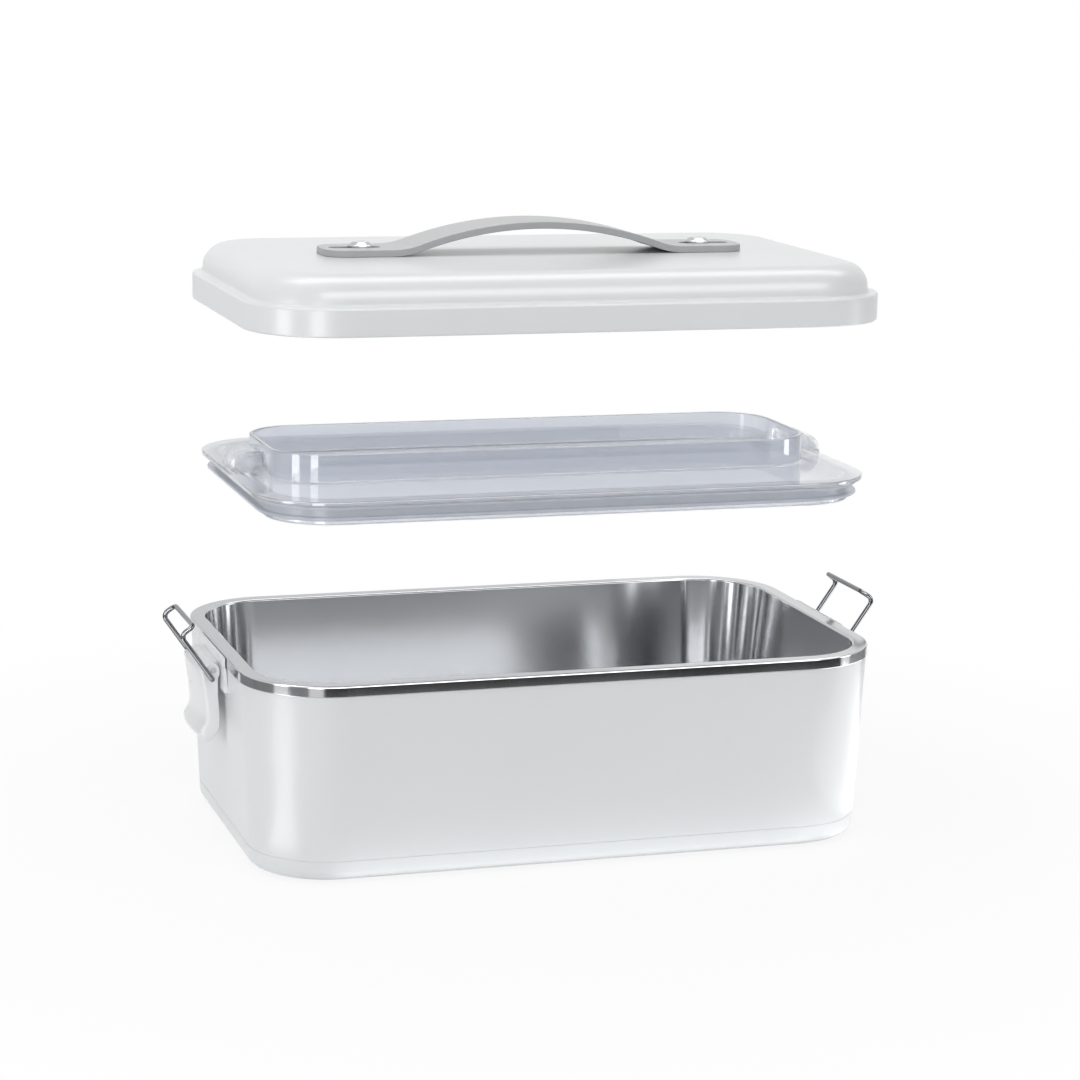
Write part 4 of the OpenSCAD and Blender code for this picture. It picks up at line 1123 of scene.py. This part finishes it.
class LUNCHBOX_OT_stage(PieceMaker, bpy.types.Operator):
    """Lays the floor and sets the cards, the lamps, the sky and the camera"""

    bl_idname = "lunchbox.stage"
    bl_label = "Stage, lamps and camera"

    def make(self, body, scene):
        settings = scene.lunch_box_stage
        self.floor(settings)
        self.cards()
        self.sky(scene, settings)
        self.lamps(settings)
        self.camera(scene, settings)
        scene.view_settings.view_transform = "Standard"

    def floor(self, settings):
        """A pale floor that is clean white to the camera, but for a faint shade near the box."""
        paint = Paint("stage_floor_white", settings.floor, Roughness=0.9, Specular_IOR_Level=0.1)
        away = paint.add(
            "ShaderNodeVectorMath", {"operation": "LENGTH"}, {0: paint.place()}, output="Value"
        )
        clean = paint.seen() * paint.eased(away, 0.13, 0.38, 0.88, 1.0)
        paint.surface(paint.add("ShaderNodeMixShader", None, {
            0: clean, 1: Value(paint, paint.shader.outputs[0]),
            2: paint.add("ShaderNodeEmission", None, {"Color": WHITE, "Strength": 1.0}),
        }))
        mesh = bmesh.new()
        bmesh.ops.create_grid(mesh, x_segments=1, y_segments=1, size=40.0)
        placed(mesh, "stage_floor", paint.material)

    def show(self, thing, *rays):
        """Lets only some kinds of rays see a card or a lamp."""
        for kind in ("camera", "diffuse", "glossy", "shadow", "transmission"):
            setattr(thing, "visible_" + kind, kind in rays)

    def cards(self):
        """Upright cards, seen only in polished parts, with light gaps between them."""
        dark = Paint("card_dark", (0.018, 0.019, 0.02), Roughness=1.0).material
        grey = Paint("card_grey", (0.42, 0.43, 0.44), Roughness=1.0).material
        pale = Paint(
            "card_pale", (0.1, 0.1, 0.1), Roughness=1.0, Emission_Color=(0.74, 0.75, 0.76, 1.0),
            Emission_Strength=1.0,
        ).material
        lift = 0.001
        for name, tone, high, foot in (
            ("card_front", dark, 0.13, (
                (-0.161, -0.289), (0.0, -0.297), (0.181, -0.295), (0.27, -0.235), (0.317, -0.170))),
            ("card_left", grey, 0.13, ((-0.233, -0.255), (-0.310, -0.169))),
            ("card_far_left", grey, 0.13, ((-0.337, -0.0895), (-0.315, 0.0605), (-0.213, 0.1675))),
            ("card_right", grey, 0.13, ((0.342, -0.1015), (0.3395, 0.0105), (0.294, 0.104))),
            ("card_back", pale, 0.215, ((0.17, 0.385), (0.0, 0.42), (-0.40, 0.34))),
        ):
            mesh = bmesh.new()
            joined(mesh, [(x, y, lift) for x, y in foot], False)
            drawn(mesh, list(mesh.edges), (0, 0, high))
            card = placed(mesh, name, tone)
            self.show(card, "glossy")

    def sky(self, scene, settings):
        """Even light from all round, which itself looks white."""
        world = bpy.data.worlds.new("studio_sky")
        scene.world = world
        world.use_nodes = True
        nodes = Nodes(world.node_tree)
        lit, shown = (
            nodes.add("ShaderNodeBackground", None, {"Color": WHITE, "Strength": strength})
            for strength in (settings.sky, 1.0)
        )
        mix = nodes.add("ShaderNodeMixShader", None, {0: nodes.seen(), 1: lit, 2: shown})
        nodes.add("ShaderNodeOutputWorld", None, {"Surface": mix})

    def lamps(self, settings):
        """Lamps light every rough surface, and strips show only as reflections."""
        # Name, place, aim, width, height and brightness
        for name, place, aim, width, height, bright in (
            ("lamp_above", (-0.15, -0.1, 1.5), (0, 0, 0.1), 1.4, 1.0, 0.92),
            ("lamp_front", (-0.45, -1.7, 0.6), (0, 0, 0.1), 1.0, 0.8, 0.77),
            ("lamp_left", (-1.6, -0.5, 0.25), (0, 0, 0.1), 1.0, 0.8, 1.2),
            ("lamp_corner_right", (0.298, -0.254, 0.05), (0.086, -0.0415, 0.05), 0.10, 0.20, 0.6),
            ("lamp_low", (0.0, -0.0757, 0.0012), (0.0, -0.0747, 1.0), 0.18, 0.010, 0.38),
            ("lamp_low_right", (0.1066, -0.0710, 0.0012), (0.1072, -0.0718, 1.0), 0.045, 0.014,
             0.65),
            ("strip_above", (0.2, 0.13, 1.30), (0.2, 0.13, 0.2), 2.0, 0.55, 2.0),
            ("strip_left", (-0.330, -0.131, 0.139), (-0.1, -0.06, 0.139), 0.085, 0.122, 3.0),
            ("strip_near", (-0.20, -0.277, 0.128), (-0.09, -0.07, 0.128), 0.08, 0.145, 3.0),
            ("strip_right", (0.335, -0.138, 0.119), (0.1, -0.06, 0.119), 0.075, 0.082, 3.0),
            ("strip_low_left", (-0.2604, -0.1147, 0.003), (-0.2510, -0.1113, 1.0), 0.09, 0.12, 1.7),
            ("strip_low_near", (-0.1664, -0.0805, 0.003), (-0.1570, -0.0771, 1.0), 0.035, 0.08,
             1.7),
            ("strip_low_right", (0.24, -0.06, 0.003), (0.23, -0.06, 1.0), 0.20, 0.22, 1.4),
            ("strip_front", (0.1, -1.3, 0.80), (0, -0.07, 0.205), 1.6, 0.65, 2.3),
        ):
            data = bpy.data.lights.new(name, "AREA")
            data.shape = "RECTANGLE"
            data.size = width
            data.size_y = height
            data.energy = bright * settings.key * math.pi * width * height
            lamp = bpy.data.objects.new(name, data)
            lamp.location = place
            way = Vector(aim) - Vector(place)
            lamp.rotation_euler = way.to_track_quat("-Z", "Y").to_euler()
            self.show(lamp, "diffuse" if name.startswith("lamp") else "glossy", "shadow")
            bpy.context.scene.collection.objects.link(lamp)

    def camera(self, scene, settings):
        """A long lens from the front left, a little above, with a slight roll."""
        eye = (-0.32966, -1.04626, 0.32560)
        right = Vector((0.95240, -0.30486, 0.0))
        up = Vector((0.06009, 0.18773, 0.98038))
        away = -Vector((0.29888, 0.93371, -0.19711))
        roll = 0.0186
        across = right * math.cos(roll) + up * math.sin(roll)
        upward = up * math.cos(roll) - right * math.sin(roll)
        data = bpy.data.cameras.new("studio_camera")
        data.sensor_width = 36.0
        data.lens = settings.focal
        data.clip_start = 0.05
        data.clip_end = 200.0
        data.dof.use_dof = False
        camera = bpy.data.objects.new("studio_camera", data)
        turn = Matrix((across, upward, away)).transposed().to_4x4()
        camera.matrix_world = Matrix.Translation(eye) @ turn
        scene.collection.objects.link(camera)
        scene.camera = camera


class LUNCHBOX_PT_panel(bpy.types.Panel):
    """Lists the lunch box's pieces and their sizes"""

    bl_idname = "LUNCHBOX_PT_panel"
    bl_label = "Lunch box"
    bl_space_type = "VIEW_3D"
    bl_region_type = "UI"
    bl_category = "Lunch box"

    def draw(self, context):
        for operator in OPERATORS:
            self.layout.operator(operator.bl_idname)
        for name, group in GROUPS:
            box = self.layout.box()
            box.label(text=group.__doc__)
            settings = getattr(context.scene, name)
            for prop in group.__annotations__:
                box.prop(settings, prop)


OPERATORS = (
    LUNCHBOX_OT_housing,
    LUNCHBOX_OT_container,
    LUNCHBOX_OT_outer_lid,
    LUNCHBOX_OT_clear_lid,
    LUNCHBOX_OT_strap,
    LUNCHBOX_OT_latches,
    LUNCHBOX_OT_fittings,
    LUNCHBOX_OT_stage,
)
GROUPS = (
    ("lunch_box_body", LunchBoxBody),
    ("lunch_box_lids", LunchBoxLids),
    ("lunch_box_latches", LunchBoxLatches),
    ("lunch_box_stage", LunchBoxStage),
)


CLASSES = (*(group for _, group in GROUPS), *OPERATORS, LUNCHBOX_PT_panel)


def register():
    for kind in CLASSES:
        bpy.utils.register_class(kind)
    for name, group in GROUPS:
        setattr(bpy.types.Scene, name, PointerProperty(type=group))


def unregister():
    for name, _ in GROUPS:
        delattr(bpy.types.Scene, name)
    for kind in reversed(CLASSES):
        bpy.utils.unregister_class(kind)


def main():
    register()
    bpy.ops.lunchbox.housing()
    bpy.ops.lunchbox.container()
    bpy.ops.lunchbox.outer_lid()
    bpy.ops.lunchbox.clear_lid()
    bpy.ops.lunchbox.strap()
    bpy.ops.lunchbox.latches()
    bpy.ops.lunchbox.fittings()
    bpy.ops.lunchbox.stage()


if __name__ == "__main__":
    main()
